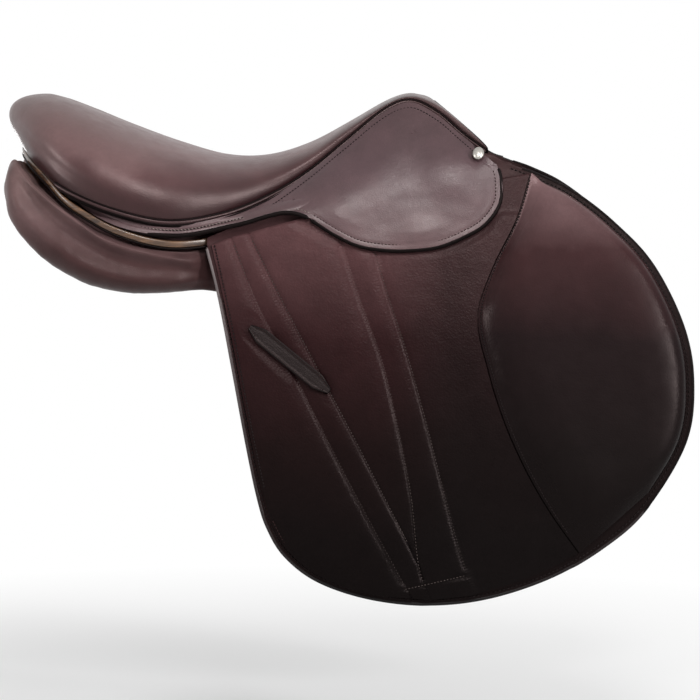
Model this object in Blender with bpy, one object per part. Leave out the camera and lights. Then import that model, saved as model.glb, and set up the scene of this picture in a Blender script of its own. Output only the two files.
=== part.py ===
"""A jumping saddle, built the way a saddler builds one: a tree with webs, foam and a leather seat on top,
two panels below, and on each side a skirt over a stirrup bar, a padded flap, three girth billets and a
sweat flap. The saddle points along +X, +Y is its left side and +Z is up. Its origin is on the plane of
symmetry, at the height where the panels rest on the horse. All sizes below are in millimetres."""

import math

import bmesh
import bpy
from mathutils import Matrix, Vector
from mathutils.bvhtree import BVHTree

MM = 0.001
GAP = 0.3  # between pieces that touch
LAYER_GAP = 0.5  # between the layers of the seat
LEFT, RIGHT = 1, -1
SIDES = ((RIGHT, "right"), (LEFT, "left"))

# Seat ribs from the pommel's front rim to the middle of the cantle. Each rib runs from the spine line
# (spine_x, spine_z) out to the welt (welt_x, welt_y, welt_z). top_reach is how far it runs out level from
# the spine, bulge how far it stands out over the welt, and rise how steeply it comes down to it.
SEAT_RIBS = (
    # spine_x, spine_z, welt_x, welt_y, welt_z, top_reach, bulge, rise
    (157, 178, 205, 74, 134, 40, 5, 3),
    (152, 181, 184, 63, 149, 34, 7, 9),
    (145, 183, 160, 51, 169, 28, 6, 7),
    (132, 184, 135, 42, 180, 22, 4, 4),
    (112, 177, 110, 45, 172, 24, 4, 4),
    (80, 159, 72, 55, 142, 32, 6, 11),
    (40, 138, 36, 66, 113, 38, 8, 16),
    (0, 126, 0, 81, 92, 48, 9, 20),
    (-40, 126, -41, 102, 77, 62, 10, 28),
    (-85, 138, -91, 123, 71, 78, 10, 38),
    (-130, 154, -142, 123, 82, 82, 12, 42),
    (-165, 168, -187, 108, 100, 80, 15, 42),
    (-190, 178, -215, 80, 118, 70, 20, 38),
    (-205, 183, -231, 40, 132, 54, 22, 32),
    (-212, 184, -236, 0, 137, 42, 22, 26),
)
LAST_RIB = len(SEAT_RIBS) - 1
SEAT_DISH = 5.0  # how much lower the middle of the seat is than its two sides, at the cantle

# Layers of the seat, as depths below its surface, at the spine and at the welt
COVER_THICK = 3.0
FOAM_SPINE, FOAM_EDGE = 18.0, 3.5
FOAM_HEAD = 6.0  # the foam's thickness over the head of the tree
HEAD_ENDS, HEAD_FADES = 8, 3  # the rib where the tree's head ends, and over how many ribs it fades out
HEAD_DROP = 2.0  # how far the head's edge comes down for each millimetre that it lies inwards
WEB_THICK = 2.0
TREE_SPINE, TREE_EDGE = 9.5, 6.5
SPRING_THICK = 2.0
HEAD_PLATE_THICK = 3.0
LINING_THICK = 2.0
RIBS_USED = sorted(set(range(15)) | {2.5 + k / 2 for k in range(19)})
HALF_SPREAD = 6  # cells from the spine to the welt

# The fold line, straight along the top of each flap, about which the flap and the skirt lift
FOLD_REAR = (-55.0, 114.0, 49.0)
FOLD_FRONT = (228.0, 83.0, 121.9)
HIP_LINE = ((-240, 98), (-187, 110), (-142, 125), (-102, 127), (-75, 120))  # behind the fold: (x, y)
BARREL_DEPTH, BARREL_SWELL = 380.0, 70.0  # the side swells out by this much down to this depth
FRONT_FLARE = 24.0  # extra swell at the front of the flap's foot
TURN_ABOVE_FOLD, TURN_ROUNDING = 13.0, 5.0  # where the side turns in towards the welt

# Layers of each side, as offsets from the outer face of the flap: minus is towards the horse
SKIRT_THICK = 4.0
SKIRT_CLEAR = 1.0
FACING_THICK = 3.4
FLAP_THICK = 4.0
SEWN_GAP = 0.5  # between curved sheets that are sewn together
BILLET_CLEAR = 1.8
BILLET_THICK = 4.0
SWEAT_FLAP_THICK = 3.0
GIRTH_WEB_THICK = 1.5
FLAP_OUT = -FACING_THICK - SEWN_GAP
FLAP_IN = FLAP_OUT - FLAP_THICK
BILLET_OUT = FLAP_IN - BILLET_CLEAR
BILLET_IN = BILLET_OUT - BILLET_THICK
WEB_OUT = BILLET_IN - SEWN_GAP
WEB_IN = WEB_OUT - GIRTH_WEB_THICK
SWEAT_OUT = WEB_IN - SEWN_GAP
SWEAT_IN = SWEAT_OUT - SWEAT_FLAP_THICK
AXIS_OUT = SKIRT_CLEAR + SKIRT_THICK  # the fold axis lies on the skirt's outer face
FOLD_GAP = 0.6  # between what stays and what lifts, along the fold

# Outlines in side view, (x, z)
FLAP_REAR = ((-55, 49), (-43, 0), (-30, -66), (-17, -134), (-7, -180), (2, -208))
FLAP_FOOT = ((2, -208), (18, -234), (48, -257), (95, -273), (150, -279), (205, -273), (262, -254), (310, -226),
             (348, -192))
FLAP_FRONT = ((228, 121), (257, 110), (287, 95), (323, 67), (358, 29), (385, -27), (393, -78), (385, -132),
              (348, -192))
SKIRT_LOW = ((-187, 94), (-164, 77), (-142, 65), (-122, 59), (-101, 56), (-80, 55), (-60, 57), (-40, 61),
             (-19, 66), (1, 72), (18, 75), (34, 73))
SKIRT_EDGE = ((34, 72), (63, 55), (85, 45), (110, 41), (134, 41), (159, 44), (183, 53), (203, 65), (216, 84),
              (219, 98), (213, 117))
SKIRT_REAR_X, SKIRT_FRONT_X = -191.0, 212.0
FLAP_HEAD_REAR_X, FLAP_HEAD_FRONT_X = -53.0, 224.0
FLAP_HEAD_RISE = ((-55, 5), (0, 14), (60, 30), (120, 40), (170, 34), (196, 17), (213, 8), (226, 2))
KNEE_REAR = ((245, 112), (231, 69), (208, 24), (194, -20), (203, -66), (217, -111), (236, -154), (259, -194),
             (286, -232))
KNEE_CROWN = 15.0
KNEE_MARGIN = 9.0  # from the knee pad to the flap's front edge
WINDOW_REAR_X, WINDOW_FRONT_X, WINDOW_TOP, WINDOW_LOW = 93.0, 189.0, 8.0, 41.0

# Stirrup bars: down is the distance below the fold line
BAR_REAR_X, BAR_FRONT_X, BAR_DOWN, BAR_TALL = 112.0, 182.0, 28.0, 10.0
BAR_OUT, BAR_THICK = -3.6, 6.0
LEATHER_GAP = 11.0  # between the bar and its plate
BAR_PLATE_THICK = 3.0
BAR_ARM = 11.0
CATCH_LONG = 15.0
PLATE_ABOVE_FOLD = 12.0
POINT_THICK, POINT_LONG, POINT_RIBS = 9.0, 96.0, (2, 4)
POINT_CLEAR = 1.0  # below the edge of the tree
# The girth webs' way down: how far along to the billets, how far below the fold (the first one only
# clears the tree's edge), and the offset
WEB_PATH = ((0.1, None, -6.5), (0.3, -8, -9.2), (0.4, 4, -9.2), (0.6, 18, -11.5), (0.8, 30, WEB_OUT),
            (1.0, 62, WEB_OUT))

# The flap's quilting: the rear edge of its padding, then four sewn lines, each from the fold to the foot.
# The second and third lines meet before the foot.
FACING_REAR = ((-51, 47), (-41, 4), (-31, -42), (-22, -88), (-13, -132), (-4, -172), (6, -205))
QUILT_LINES = (
    ((-33, 54), (-8, -8), (24, -67), (55, -127), (87, -188), (117, -243), (133, -273)),
    ((-17, 58), (14, -3), (46, -63), (79, -124), (110, -184), (140, -243), (151, -275)),
    ((60, 78), (84, 3), (106, -57), (121, -118), (133, -180), (140, -243), (151, -275)),
    ((87, 85), (110, 8), (129, -50), (146, -110), (162, -172), (177, -228), (191, -270)),
)
FACING_FEET = (((6, -205), (21, -230), (50, -253), (94, -269), (133, -273)), ((133, -273), (151, -275)),
               ((151, -275), (151, -275)), ((151, -275), (191, -270)), ((191, -270), (242, -254), (286, -232)))
QUILT_ACROSS = (5, 2, 4, 2, 4)
QUILT_DOWN = 12
QUILT_DEPTH, QUILT_CROWNED = 2.0, 12.0  # a strip wider than the second has its full crown

# Billets and girth webs. A web is (place, first rib, last rib, rear x, front x): the ribs are where it lies
# on the tree, and the two x are where the billets are sewn to it.
BILLET_WIDE = 25.0
BILLETS = (("rear", 0.0), ("middle", 36.0), ("front", 72.0))
BILLET_HEAD, BILLET_FOOT_Z, BILLET_TIP = 34.0, -212.0, 26.0
WEBS = (("rear", 6.5, 7.5, -1.0, 27.0), ("front", 4.5, 6.0, 35.0, 99.0))
WEB_BELOW_FOLD = 62.0
SWEAT_INSET, SWEAT_TOP = 13.0, 46.0
SWEAT_REAR_X, SWEAT_FRONT_X, SWEAT_FRONT_DROP = -34.0, 310.0, 70.0

# The stirrup leather keeper on the flap
KEEPER_REAR, KEEPER_FRONT = (-15.0, -28.0), (58.0, -86.0)
KEEPER_WIDE, KEEPER_THICK = 15.0, 3.0

WELT_RADIUS, WELT_REACH = 1.9, 0.6
STUD_RADIUS, STUD_HIGH = 7.0, 3.2
STUD_X, STUD_Z = 197.0, 127.0
PAST_STUD, PAST_STUD_SLOPE = 6.0, 0.7  # from there on the skirt's top edge comes down this steeply
RIM_TALL, RIM_THICK = 6.5, 3.5
RIM_DROP = ((8, 22), (9, 19.5), (10, 16.7), (10.5, 12.7), (11, 8.7), (11.5, 2.5), (12, 0.8), (14, 0.8))
RIM_SPREAD = ((8, -2), (10, 3), (11, 3), (12, 1), (14, 0))

# Panels: at each x, (y, z) of the inner wall's top, the top's outer edge, the upper roll, the sewn channel,
# the lower roll, the foot and the foot's inner corner. Where the tree comes lower, the top stays below it.
PANELS = (
    (-244, (66, 117), (79, 120), (86, 115), (90, 107), (90, 97), (84, 89), (74, 97)),
    (-238, (48, 121), (70, 128), (84, 121), (92, 112), (100, 89), (92, 69), (62, 87)),
    (-220, (32, 110), (78, 110), (98, 100), (103, 81), (108, 64), (98, 47), (50, 60)),
    (-200, (27, 93), (96, 92), (115, 78), (112, 60), (116, 45), (100, 31), (47, 46)),
    (-175, (25, 88), (112, 73), (125, 61), (121, 41), (122, 29), (100, 17), (44, 37)),
    (-150, (25, 140), (119, 58), (130, 46), (126, 30), (125, 19), (99, 9), (42, 31)),
    (-120, (25, 140), (123, 49), (132, 38), (127, 24), (125, 13), (98, 4), (42, 26)),
    (-85, (25, 140), (119, 42), (129, 33), (124, 22), (121, 12), (96, 3), (42, 25)),
    (-65, (25, 140), (106, 42), (114, 32), (111, 22), (109, 12), (93, 4), (42, 26)),
    (-48, (25, 140), (94, 48), (100, 36), (100, 22), (99, 10), (88, 2), (42, 27)),
    (-10, (25, 140), (86, 58), (96, 34), (103, 20), (109, 4), (90, -3), (43, 28)),
    (40, (27, 140), (72, 76), (86, 40), (98, 15), (107, -6), (88, -15), (45, 26)),
    (90, (30, 116), (58, 86), (70, 50), (84, 10), (100, -24), (90, -33), (50, 20)),
    (140, (36, 116), (50, 96), (58, 60), (72, 10), (90, -32), (84, -42), (56, 10)),
    (185, (46, 100), (54, 92), (62, 56), (76, 6), (94, -32), (90, -42), (62, 4)),
    (212, (58, 86), (62, 84), (68, 58), (78, 20), (90, -4), (86, -14), (68, 16)),
)
PANEL_SHOULDER = 12.0
PANEL_CLEAR = 3.5
PANEL_SEARCH = 9.0  # a panel stays under all that lies this near, to both sides and fore and aft

MATERIALS = {
    # finish: base colour, roughness, metallic
    "leather": ((0.085, 0.045, 0.045), 0.42, 0.0),
    "leather_dark": ((0.03, 0.02, 0.022), 0.45, 0.0),
    "rim_tan": ((0.30, 0.17, 0.08), 0.35, 0.0),
    "foam": ((0.75, 0.72, 0.62), 0.95, 0.0),
    "webbing": ((0.62, 0.58, 0.48), 0.9, 0.0),
    "wood": ((0.55, 0.40, 0.24), 0.6, 0.0),
    "steel": ((0.55, 0.55, 0.57), 0.35, 1.0),
}


def blend(a, b, t):
    return a + (b - a) * t


def hermite(a, b, slope_a, slope_b, t):
    """Cubic from a to b over t 0 to 1."""
    return ((2 * t**3 - 3 * t**2 + 1) * a + (t**3 - 2 * t**2 + t) * slope_a
            + (3 * t**2 - 2 * t**3) * b + (t**3 - t**2) * slope_b)


def through(rows, u):
    """The smooth curve through rows, at row number u."""
    last = len(rows) - 1
    u = min(max(u, 0.0), last)
    i = min(int(u), last - 1)
    a, b = rows[i], rows[i + 1]
    before = rows[i - 1] if i else [2 * p - q for p, q in zip(a, b)]
    after = rows[i + 2] if i + 2 <= last else [2 * q - p for p, q in zip(a, b)]
    return [hermite(p, q, (q - o) / 2, (r - p) / 2, u - i) for o, p, q, r in zip(before, a, b, after)]


def height_at(points, x):
    """The smooth curve through (x, value) points, at x. It runs on straight past both ends."""
    points = sorted(points)
    slopes = []
    for i in range(len(points)):
        a, b = points[max(i - 1, 0)], points[min(i + 1, len(points) - 1)]
        slopes.append((b[1] - a[1]) / (b[0] - a[0]))
    if x <= points[0][0]:
        return points[0][1] + slopes[0] * (x - points[0][0])
    if x >= points[-1][0]:
        return points[-1][1] + slopes[-1] * (x - points[-1][0])
    i = max(k for k in range(len(points) - 1) if points[k][0] <= x)
    (xa, a), (xb, b) = points[i], points[i + 1]
    wide = xb - xa
    return hermite(a, b, slopes[i] * wide, slopes[i + 1] * wide, (x - xa) / wide)


def seat_point(u, v, side, spine_depth=0.0, edge_depth=None):
    """A point of the seat: u is the rib's number, v runs from 0 at the spine to 1 at the welt."""
    edge_depth = spine_depth if edge_depth is None else edge_depth
    # The tree's head is an arch, with thin foam over it
    head = min(max((HEAD_ENDS - u) / HEAD_FADES, 0.0), 1.0)
    under_foam = min(max((spine_depth - COVER_THICK - LAYER_GAP) / FOAM_SPINE, 0.0), 1.0)
    spine_depth -= (FOAM_SPINE - FOAM_HEAD) * head * under_foam
    drop = HEAD_DROP * head * max(edge_depth - COVER_THICK, 0.0)
    depth = blend(spine_depth, edge_depth, v)
    spine_x, spine_z, welt_x, welt_y, welt_z, reach, bulge, rise = through(SEAT_RIBS, u)
    run = Vector((welt_x - spine_x, max(welt_y, 0.0), 0))
    run = run.normalized() if run.length > 1e-6 else Vector((-1, 0, 0))
    dish = SEAT_DISH * min(max((u - 8) / 3, 0), 1) * min(max((14 - u) / 3, 0), 1)
    p0 = Vector((spine_x, 0, spine_z - depth))
    p3 = Vector((welt_x, max(welt_y, 0.0), welt_z - drop)) - run * depth
    across = Vector((0, 1, 0)).lerp(run, min(max(u - LAST_RIB + 2, 0) / 2, 1)).normalized()
    p1 = p0 + across * (reach - depth * 0.5) + Vector((0, 0, dish))
    p2 = p3 + run * bulge + Vector((0, 0, rise))
    s = 1 - v
    p = p0 * s**3 + p1 * 3 * s * s * v + p2 * 3 * s * v * v + p3 * v**3
    return Vector((p.x, p.y * side, p.z))


WELT_LINE = tuple((rib[2], rib[3]) for rib in SEAT_RIBS[:12])
WELT_HEIGHT = tuple((rib[2], rib[4]) for rib in SEAT_RIBS[:12])
FOLD_SLOPE_Z = (FOLD_FRONT[2] - FOLD_REAR[2]) / (FOLD_FRONT[0] - FOLD_REAR[0])
FOLD_SLOPE_Y = (FOLD_FRONT[1] - FOLD_REAR[1]) / (FOLD_FRONT[0] - FOLD_REAR[0])


def fold_z(x):
    return FOLD_REAR[2] + (x - FOLD_REAR[0]) * FOLD_SLOPE_Z


def fold_y(x):
    """The fold line's distance from the middle plane, and behind the fold the hip's."""
    straight = tuple((a, FOLD_REAR[1] + (a - FOLD_REAR[0]) * FOLD_SLOPE_Y) for a in (-45, 0, 100, 236, 400))
    return height_at(HIP_LINE + straight, x)


def welt_z(x):
    return height_at(WELT_HEIGHT, x)


def side_y(x, z):
    """Distance of the flap's outer face from the middle plane."""
    down = fold_z(x) - z
    share = min(max(down / BARREL_DEPTH, 0.0), 1.0)
    steep = BARREL_SWELL * math.pi / 2 / BARREL_DEPTH
    swell = BARREL_SWELL * math.sin(math.pi / 2 * share) if down > 0 else steep * down
    flare = FRONT_FLARE * share * min(max((x - FOLD_REAR[0]) / 290, 0.0), 1.4)
    inner = min(x, WELT_LINE[0][0])
    turn = fold_y(inner) - steep * TURN_ABOVE_FOLD
    welt_in = height_at(WELT_LINE, inner) - AXIS_OUT
    lean = (turn - welt_in) / max(welt_z(inner) - fold_z(inner) - TURN_ABOVE_FOLD, 14.0)
    a = fold_y(x) - steep * TURN_ABOVE_FOLD + lean * (down + TURN_ABOVE_FOLD)
    b = fold_y(x) + swell + flare
    # The lower of the two, with a rounding where they meet
    h = min(max(0.5 + (b - a) / (2 * TURN_ROUNDING), 0.0), 1.0)
    return blend(b, a, h) - TURN_ROUNDING * h * (1 - h)


def side_point(x, z, side, out=0.0):
    """The point out from the flap's outer face at (x, z), along the face's normal."""
    normal = Vector(((side_y(x - 1, z) - side_y(x + 1, z)) / 2, 1, (side_y(x, z - 1) - side_y(x, z + 1)) / 2))
    p = Vector((x, side_y(x, z), z)) + normal.normalized() * out
    return Vector((p.x, p.y * side, p.z))


def steps(count, low=0.0, high=1.0):
    return [blend(low, high, i / count) for i in range(count + 1)]


def material(piece, finish):
    """Each piece has its own material, so that it can be coloured by itself."""
    colour, roughness, metallic = MATERIALS[finish]
    made = bpy.data.materials.new(piece + "_" + finish)
    made.use_nodes = True
    surface = made.node_tree.nodes["Principled BSDF"]
    surface.inputs["Base Color"].default_value = (*colour, 1)
    surface.inputs["Roughness"].default_value = roughness
    surface.inputs["Metallic"].default_value = metallic
    return made


def add_object(name, points, faces, finish, smooth=True):
    mesh = bpy.data.meshes.new(name)
    mesh.from_pydata([Vector(p) * MM for p in points], [], faces)
    shape = bmesh.new()
    shape.from_mesh(mesh)
    bmesh.ops.recalc_face_normals(shape, faces=shape.faces)
    shape.to_mesh(mesh)
    shape.free()
    mesh.materials.append(material(name, finish))
    if smooth:
        mesh.shade_smooth()
        mesh.set_sharp_from_angle(angle=math.radians(40))
    made = bpy.data.objects.new(name, mesh)
    bpy.context.scene.collection.objects.link(made)
    return made


def slab(name, upper, lower, finish, keep=lambda i, j: True):
    """The closed solid between two grids of points. Points that coincide are joined, and keep drops cells."""
    numbers, tops, bottoms = {}, [], []

    def number(i, j):
        key = tuple(round(c, 2) for c in upper[i][j])
        if key not in numbers:
            numbers[key] = len(tops)
            tops.append(upper[i][j])
            bottoms.append(lower[i][j])
        return numbers[key]

    faces = []
    for i in range(len(upper) - 1):
        for j in range(len(upper[0]) - 1):
            if keep(i, j):
                a, b, c, d = number(i, j), number(i, j + 1), number(i + 1, j + 1), number(i + 1, j)
                faces += [face for face in ((a, b, c), (a, c, d)) if len(set(face)) == 3]
    edges = {(f[n], f[n - 2]) for f in faces for n in range(3)}
    n = len(tops)
    walls = [(b, a, a + n, b + n) for a, b in edges if (b, a) not in edges]
    under = [(a + n, c + n, b + n) for a, b, c in faces]
    return add_object(name, tops + bottoms, faces + under + walls, finish)


def seat_slab(name, upper, lower, finish, keep=lambda rib, v: True):
    """A layer of the seat over both sides. upper and lower are (depth at the spine, depth at the welt).
    All layers share one grid, so that they nest. keep is asked of each cell, by the middle of the cell."""
    spread = steps(2 * HALF_SPREAD, -1, 1)
    grids = [[[seat_point(u, abs(v), LEFT if v > 0 else RIGHT, *depths) for v in spread] for u in RIBS_USED]
             for depths in (upper, lower)]
    half = 0.5 / HALF_SPREAD
    return slab(name, *grids, finish,
                lambda i, j: keep((RIBS_USED[i] + RIBS_USED[i + 1]) / 2, spread[j] + half))


def side_slab(name, side, cells, outer, inner, finish):
    """A sheet on one side: cells is a grid of (x, z), and outer and inner are offsets from the flap's face."""
    grids = [[[side_point(x, z, side, out(x, z) if callable(out) else out) for x, z in row] for row in cells]
             for out in (outer, inner)]
    return slab(name, *grids, finish)


def sample(points, count):
    """Points along the smooth curve through points, count steps from end to end."""
    return [through(points, u) for u in steps(count, 0, len(points) - 1)]


def patch(top, foot, rear, front, across):
    """A grid of (x, z) that fills four edges: top and foot are curves that run forward, and rear and front are
    lists of as many points, which run down."""
    tops, feet = sample(top, across), sample(foot, across)
    grid = []
    for i, t in enumerate(steps(len(rear) - 1)):
        grid.append([])
        for j, s in enumerate(steps(across)):
            grid[-1].append([
                blend(tops[j][k], feet[j][k], t) + blend(rear[i][k], front[i][k], s)
                - blend(blend(tops[0][k], tops[-1][k], s), blend(feet[0][k], feet[-1][k], s), t) for k in (0, 1)])
    return grid


def cut(target, cutter):
    """Takes the cutter out of the target, and leaves the cutter out of the model."""
    cutter.hide_render = True
    cutter.display_type = "WIRE"
    boolean = target.modifiers.new("cut_" + cutter.name, "BOOLEAN")
    boolean.operation = "DIFFERENCE"
    boolean.solver = "EXACT"
    boolean.object = cutter


def join(target, other):
    """Makes other part of target."""
    other.hide_render = True
    other.display_type = "WIRE"
    boolean = target.modifiers.new("join_" + other.name, "BOOLEAN")
    boolean.operation = "UNION"
    boolean.solver = "EXACT"
    boolean.object = other


def pivot(name, place):
    made = bpy.data.objects.new(name, None)
    made.location = Vector(place) * MM
    made.empty_display_size = 0.01
    bpy.context.scene.collection.objects.link(made)
    return made


def hang(empty, *pieces):
    for piece in pieces:
        piece.parent = empty
        piece.matrix_parent_inverse = Matrix.Translation(-empty.location)


def tube(name, points, radius, finish, resolution=1):
    curve = bpy.data.curves.new(name, "CURVE")
    curve.dimensions = "3D"
    curve.bevel_depth = radius * MM
    curve.bevel_resolution = resolution
    curve.use_fill_caps = True
    line = curve.splines.new("POLY")
    line.points.add(len(points) - 1)
    for spot, p in zip(line.points, points):
        spot.co = (*(Vector(p) * MM), 1)
    curve.materials.append(material(name, finish))
    made = bpy.data.objects.new(name, curve)
    bpy.context.scene.collection.objects.link(made)
    return made


def under(layer, thick, edge_thick=None):
    """The (spine, welt) depths of a layer's top and underside, below the layer above it."""
    top = (layer[0] + LAYER_GAP, layer[1] + LAYER_GAP)
    return top, (top[0] + thick, top[1] + (thick if edge_thick is None else edge_thick))


COVER = (0.0, 0.0), (COVER_THICK, COVER_THICK)
FOAM = under(COVER[1], FOAM_SPINE, FOAM_EDGE)
WEB = under(FOAM[1], WEB_THICK)
TREE = under(WEB[1], TREE_SPINE, TREE_EDGE)
SPRING = under(TREE[1], SPRING_THICK)
HEAD_PLATE = under(TREE[1], HEAD_PLATE_THICK)
LINING = under(HEAD_PLATE[1], LINING_THICK)


def make_seat():
    """The layers of the seat, from the leather down to the tree and its steel."""
    seat_slab("seat_cover", *COVER, "leather")
    seat_slab("seat_foam", *FOAM, "foam")
    seat_slab("seat_web", *WEB, "webbing", lambda rib, v: abs(v) < 1 / 3 and 1 < rib < 13)
    # The tree has a slot along its middle, from the waist to the cantle
    pieces = [seat_slab("tree", *TREE, "wood", lambda rib, v: not (abs(v) < 1 / 6 and 6 < rib < 11))]
    for side, word in SIDES:
        pieces.append(seat_slab("spring_" + word, *SPRING, "steel",
                                lambda rib, v: 2 / 3 < v * side < 5 / 6 and 6 < rib < 11))
    pieces.append(seat_slab("head_plate", *HEAD_PLATE, "steel", lambda rib, v: abs(v) < 5 / 6 and rib < 4))
    pieces.append(seat_slab("channel_strip", *LINING, "leather", lambda rib, v: abs(v) < 1 / 2 and rib < 13))
    make_pommel_facing()
    return pieces


def make_pommel_facing():
    """The leather that closes the front of the pommel, from its rim down to the arch."""
    sheet = []
    for ahead in (GAP + LINING_THICK, GAP):
        sheet.append([])
        for depths in ((0.5, 0.5), COVER[1], FOAM[0], FOAM[1], TREE[0], HEAD_PLATE[0]):
            sheet[-1].append([seat_point(0, abs(v), LEFT if v > 0 else RIGHT, *depths) + Vector((ahead, 0, 0))
                              for v in steps(2 * HALF_SPREAD, -1, 1)])
    slab("pommel_facing", *sheet, "leather")


def make_rim():
    """The tan rim round the cantle, between the seat and the panels."""
    ribs = [u for u in RIBS_USED if u >= 8]
    outer, inner = [], []
    for u, side in [(u, LEFT) for u in ribs] + [(u, RIGHT) for u in reversed(ribs[:-1])]:
        spine_x, _, welt_x, welt_y, top, *_ = through(SEAT_RIBS, u)
        top -= height_at(RIM_DROP, u)
        run = Vector((welt_x - spine_x, welt_y)).normalized()
        for row, out in ((outer, 0), (inner, -RIM_THICK)):
            p = Vector((welt_x, welt_y)) + run * (height_at(RIM_SPREAD, u) + out)
            row.append([Vector((p.x, p.y * side, z)) for z in (top, top - RIM_TALL)])
    return slab("cantle_rim", outer, inner, "rim_tan")


def make_welt(side, word):
    """The piping between the seat and the skirt."""
    path = [seat_point(u, 1, side) for u in RIBS_USED if u < 11] + [seat_point(11.2, 1, side)]
    points = []
    for i, p in enumerate(path):
        along = (path[min(i + 1, len(path) - 1)] - path[max(i - 1, 0)]).normalized()
        down = Vector((0, 0, -1)) + along * along.z
        points.append(p + down.normalized() * (WELT_RADIUS + WELT_REACH))
    tube("welt_" + word, points[1:], WELT_RADIUS, "leather_dark")


def skirt_top(x):
    """The skirt's upper edge, just under the welt."""
    slope = (welt_z(x + 4) - welt_z(x - 4)) / 8
    under_welt = welt_z(x) - (2 * WELT_RADIUS + 4 * WELT_REACH) * math.hypot(1, slope)
    return min(under_welt, STUD_Z - (x - STUD_X - PAST_STUD) * PAST_STUD_SLOPE)


def make_skirt(side, word):
    """The fixed head of the skirt, nailed along the tree, and the part that lifts off the stirrup bar."""
    fixed = []
    for x in steps(26, SKIRT_REAR_X, SKIRT_FRONT_X):
        low = height_at(SKIRT_LOW, x) if x < SKIRT_LOW[-1][0] else fold_z(x)
        fixed.append([(x, blend(low, skirt_top(x), s)) for s in (0, 0.12, 0.3, 0.55, 1)])
    outer = SKIRT_CLEAR + SKIRT_THICK
    side_slab("skirt_head_" + word, side, fixed, outer, SKIRT_CLEAR, "leather")
    top = [(x, fold_z(x) - FOLD_GAP / 2) for x in (SKIRT_EDGE[0][0] + 5, SKIRT_EDGE[-1][0])]
    rear, front = (top[0], SKIRT_EDGE[1]), (top[1], SKIRT_EDGE[-2], SKIRT_EDGE[-3])
    loose = patch(top, SKIRT_EDGE[1:-2], sample(rear, 4), sample(front, 4), 14)
    return side_slab("skirt_" + word, side, loose, outer, SKIRT_CLEAR, "leather")


def make_flap(side, word):
    """The fixed head of the flap under the skirt, and the flap with its quilted padding and its knee pad."""
    head = []
    for x in steps(14, FLAP_HEAD_REAR_X, FLAP_HEAD_FRONT_X):
        head.append([(x, fold_z(x) + blend(FOLD_GAP, height_at(FLAP_HEAD_RISE, x), s)) for s in (0, 0.2, 0.5, 1)])
    side_slab("flap_head_" + word, side, head, -SKIRT_CLEAR, -SKIRT_CLEAR - FLAP_THICK, "leather_dark")
    top = [(x, fold_z(x) - FOLD_GAP) for x in (FLAP_REAR[0][0], FLAP_FRONT[0][0])]
    rear, front = (top[0],) + FLAP_REAR[1:], (top[1],) + FLAP_FRONT[1:]
    whole = patch(top, FLAP_FOOT, sample(rear, 12), sample(front, 12), 14)
    flap = side_slab("flap_" + word, side, whole, FLAP_OUT, FLAP_IN, "leather")
    return flap, make_facing(side, word), knee_pad(side, word)


def make_facing(side, word):
    """The flap's padding, with a channel along each quilt line."""
    lines = [sample(line, QUILT_DOWN) for line in (FACING_REAR,) + QUILT_LINES + (KNEE_REAR,)]
    # From where the second line meets the third, they run down as one
    met = min(i for i, (a, b) in enumerate(zip(lines[2], lines[3])) if math.dist(a, b) < 0.1)
    lines[2] = lines[2][:met] + lines[3][met:]
    outer = [[] for _ in range(QUILT_DOWN + 1)]
    inner = [[] for _ in range(QUILT_DOWN + 1)]
    for rear, front, foot, across in zip(lines, lines[1:], FACING_FEET, QUILT_ACROSS):
        cells = patch((rear[0], front[0]), foot, rear, front, across)
        first = 1 if outer[0] else 0
        for i, row in enumerate(cells):
            for j, (x, z) in list(enumerate(row))[first:]:
                z = min(z, fold_z(x) - FOLD_GAP)
                wide = min(1, math.dist(row[0], row[-1]) / QUILT_CROWNED)
                sunk = QUILT_DEPTH * (1 - wide * (1 - abs(2 * j / across - 1) ** 3))
                outer[i].append(side_point(x, z, side, -sunk))
                inner[i].append(side_point(x, z, side, FLAP_OUT + SEWN_GAP))
    return slab("flap_facing_" + word, outer, inner, "leather")


def inset(points, margin):
    """The points moved towards the middle of the flap by margin."""
    middle = Vector((170, -90))
    moved = []
    for p in points:
        way = middle - Vector(p)
        moved.append(tuple(Vector(p) + way.normalized() * margin))
    return tuple(moved)


def knee_pad(side, word):
    """The stuffed pad along the front of the flap."""
    front = inset(FLAP_FRONT[1:], KNEE_MARGIN)
    rear = tuple((x + 1.5, z) for x, z in KNEE_REAR)
    rows = []
    for t in steps(12):
        a = through(rear, t * (len(rear) - 1))
        b = through(front, blend(0, len(front) - 1.25, t))
        rows.append([(blend(a[0], b[0], s), blend(a[1], b[1], s)) for s in steps(8)])
    outer, inner = [], []
    for i, row in enumerate(rows):
        outer.append([])
        inner.append([])
        for j, (x, z) in enumerate(row):
            s, t = j / 8, i / 12
            rise = KNEE_CROWN * (1 - abs(2 * s - 1) ** 3.2) * min(1, 0.25 + 2.6 * t) * min(1, 0.3 + 2.2 * (1 - t))
            outer[-1].append(side_point(x, z, side, 0.6 + rise))
            inner[-1].append(side_point(x, z, side, FLAP_OUT + SEWN_GAP))
    return slab("knee_pad_" + word, outer, inner, "leather")


def make_keeper(side, word):
    """The strap that holds the stirrup leather's end against the flap."""
    rear, front = Vector(KEEPER_REAR), Vector(KEEPER_FRONT)
    along = (front - rear).normalized()
    across = Vector((along.y, -along.x))
    cells = []
    for t in steps(10):
        half = KEEPER_WIDE / 2 * min(1, 0.35 + 4.5 * min(t, 1 - t))
        middle = rear + (front - rear) * t
        cells.append([tuple(middle + across * half * s) for s in (-1, 0, 1)])
    return side_slab("leather_keeper_" + word, side, cells, SEWN_GAP + KEEPER_THICK, SEWN_GAP, "leather_dark")


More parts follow.
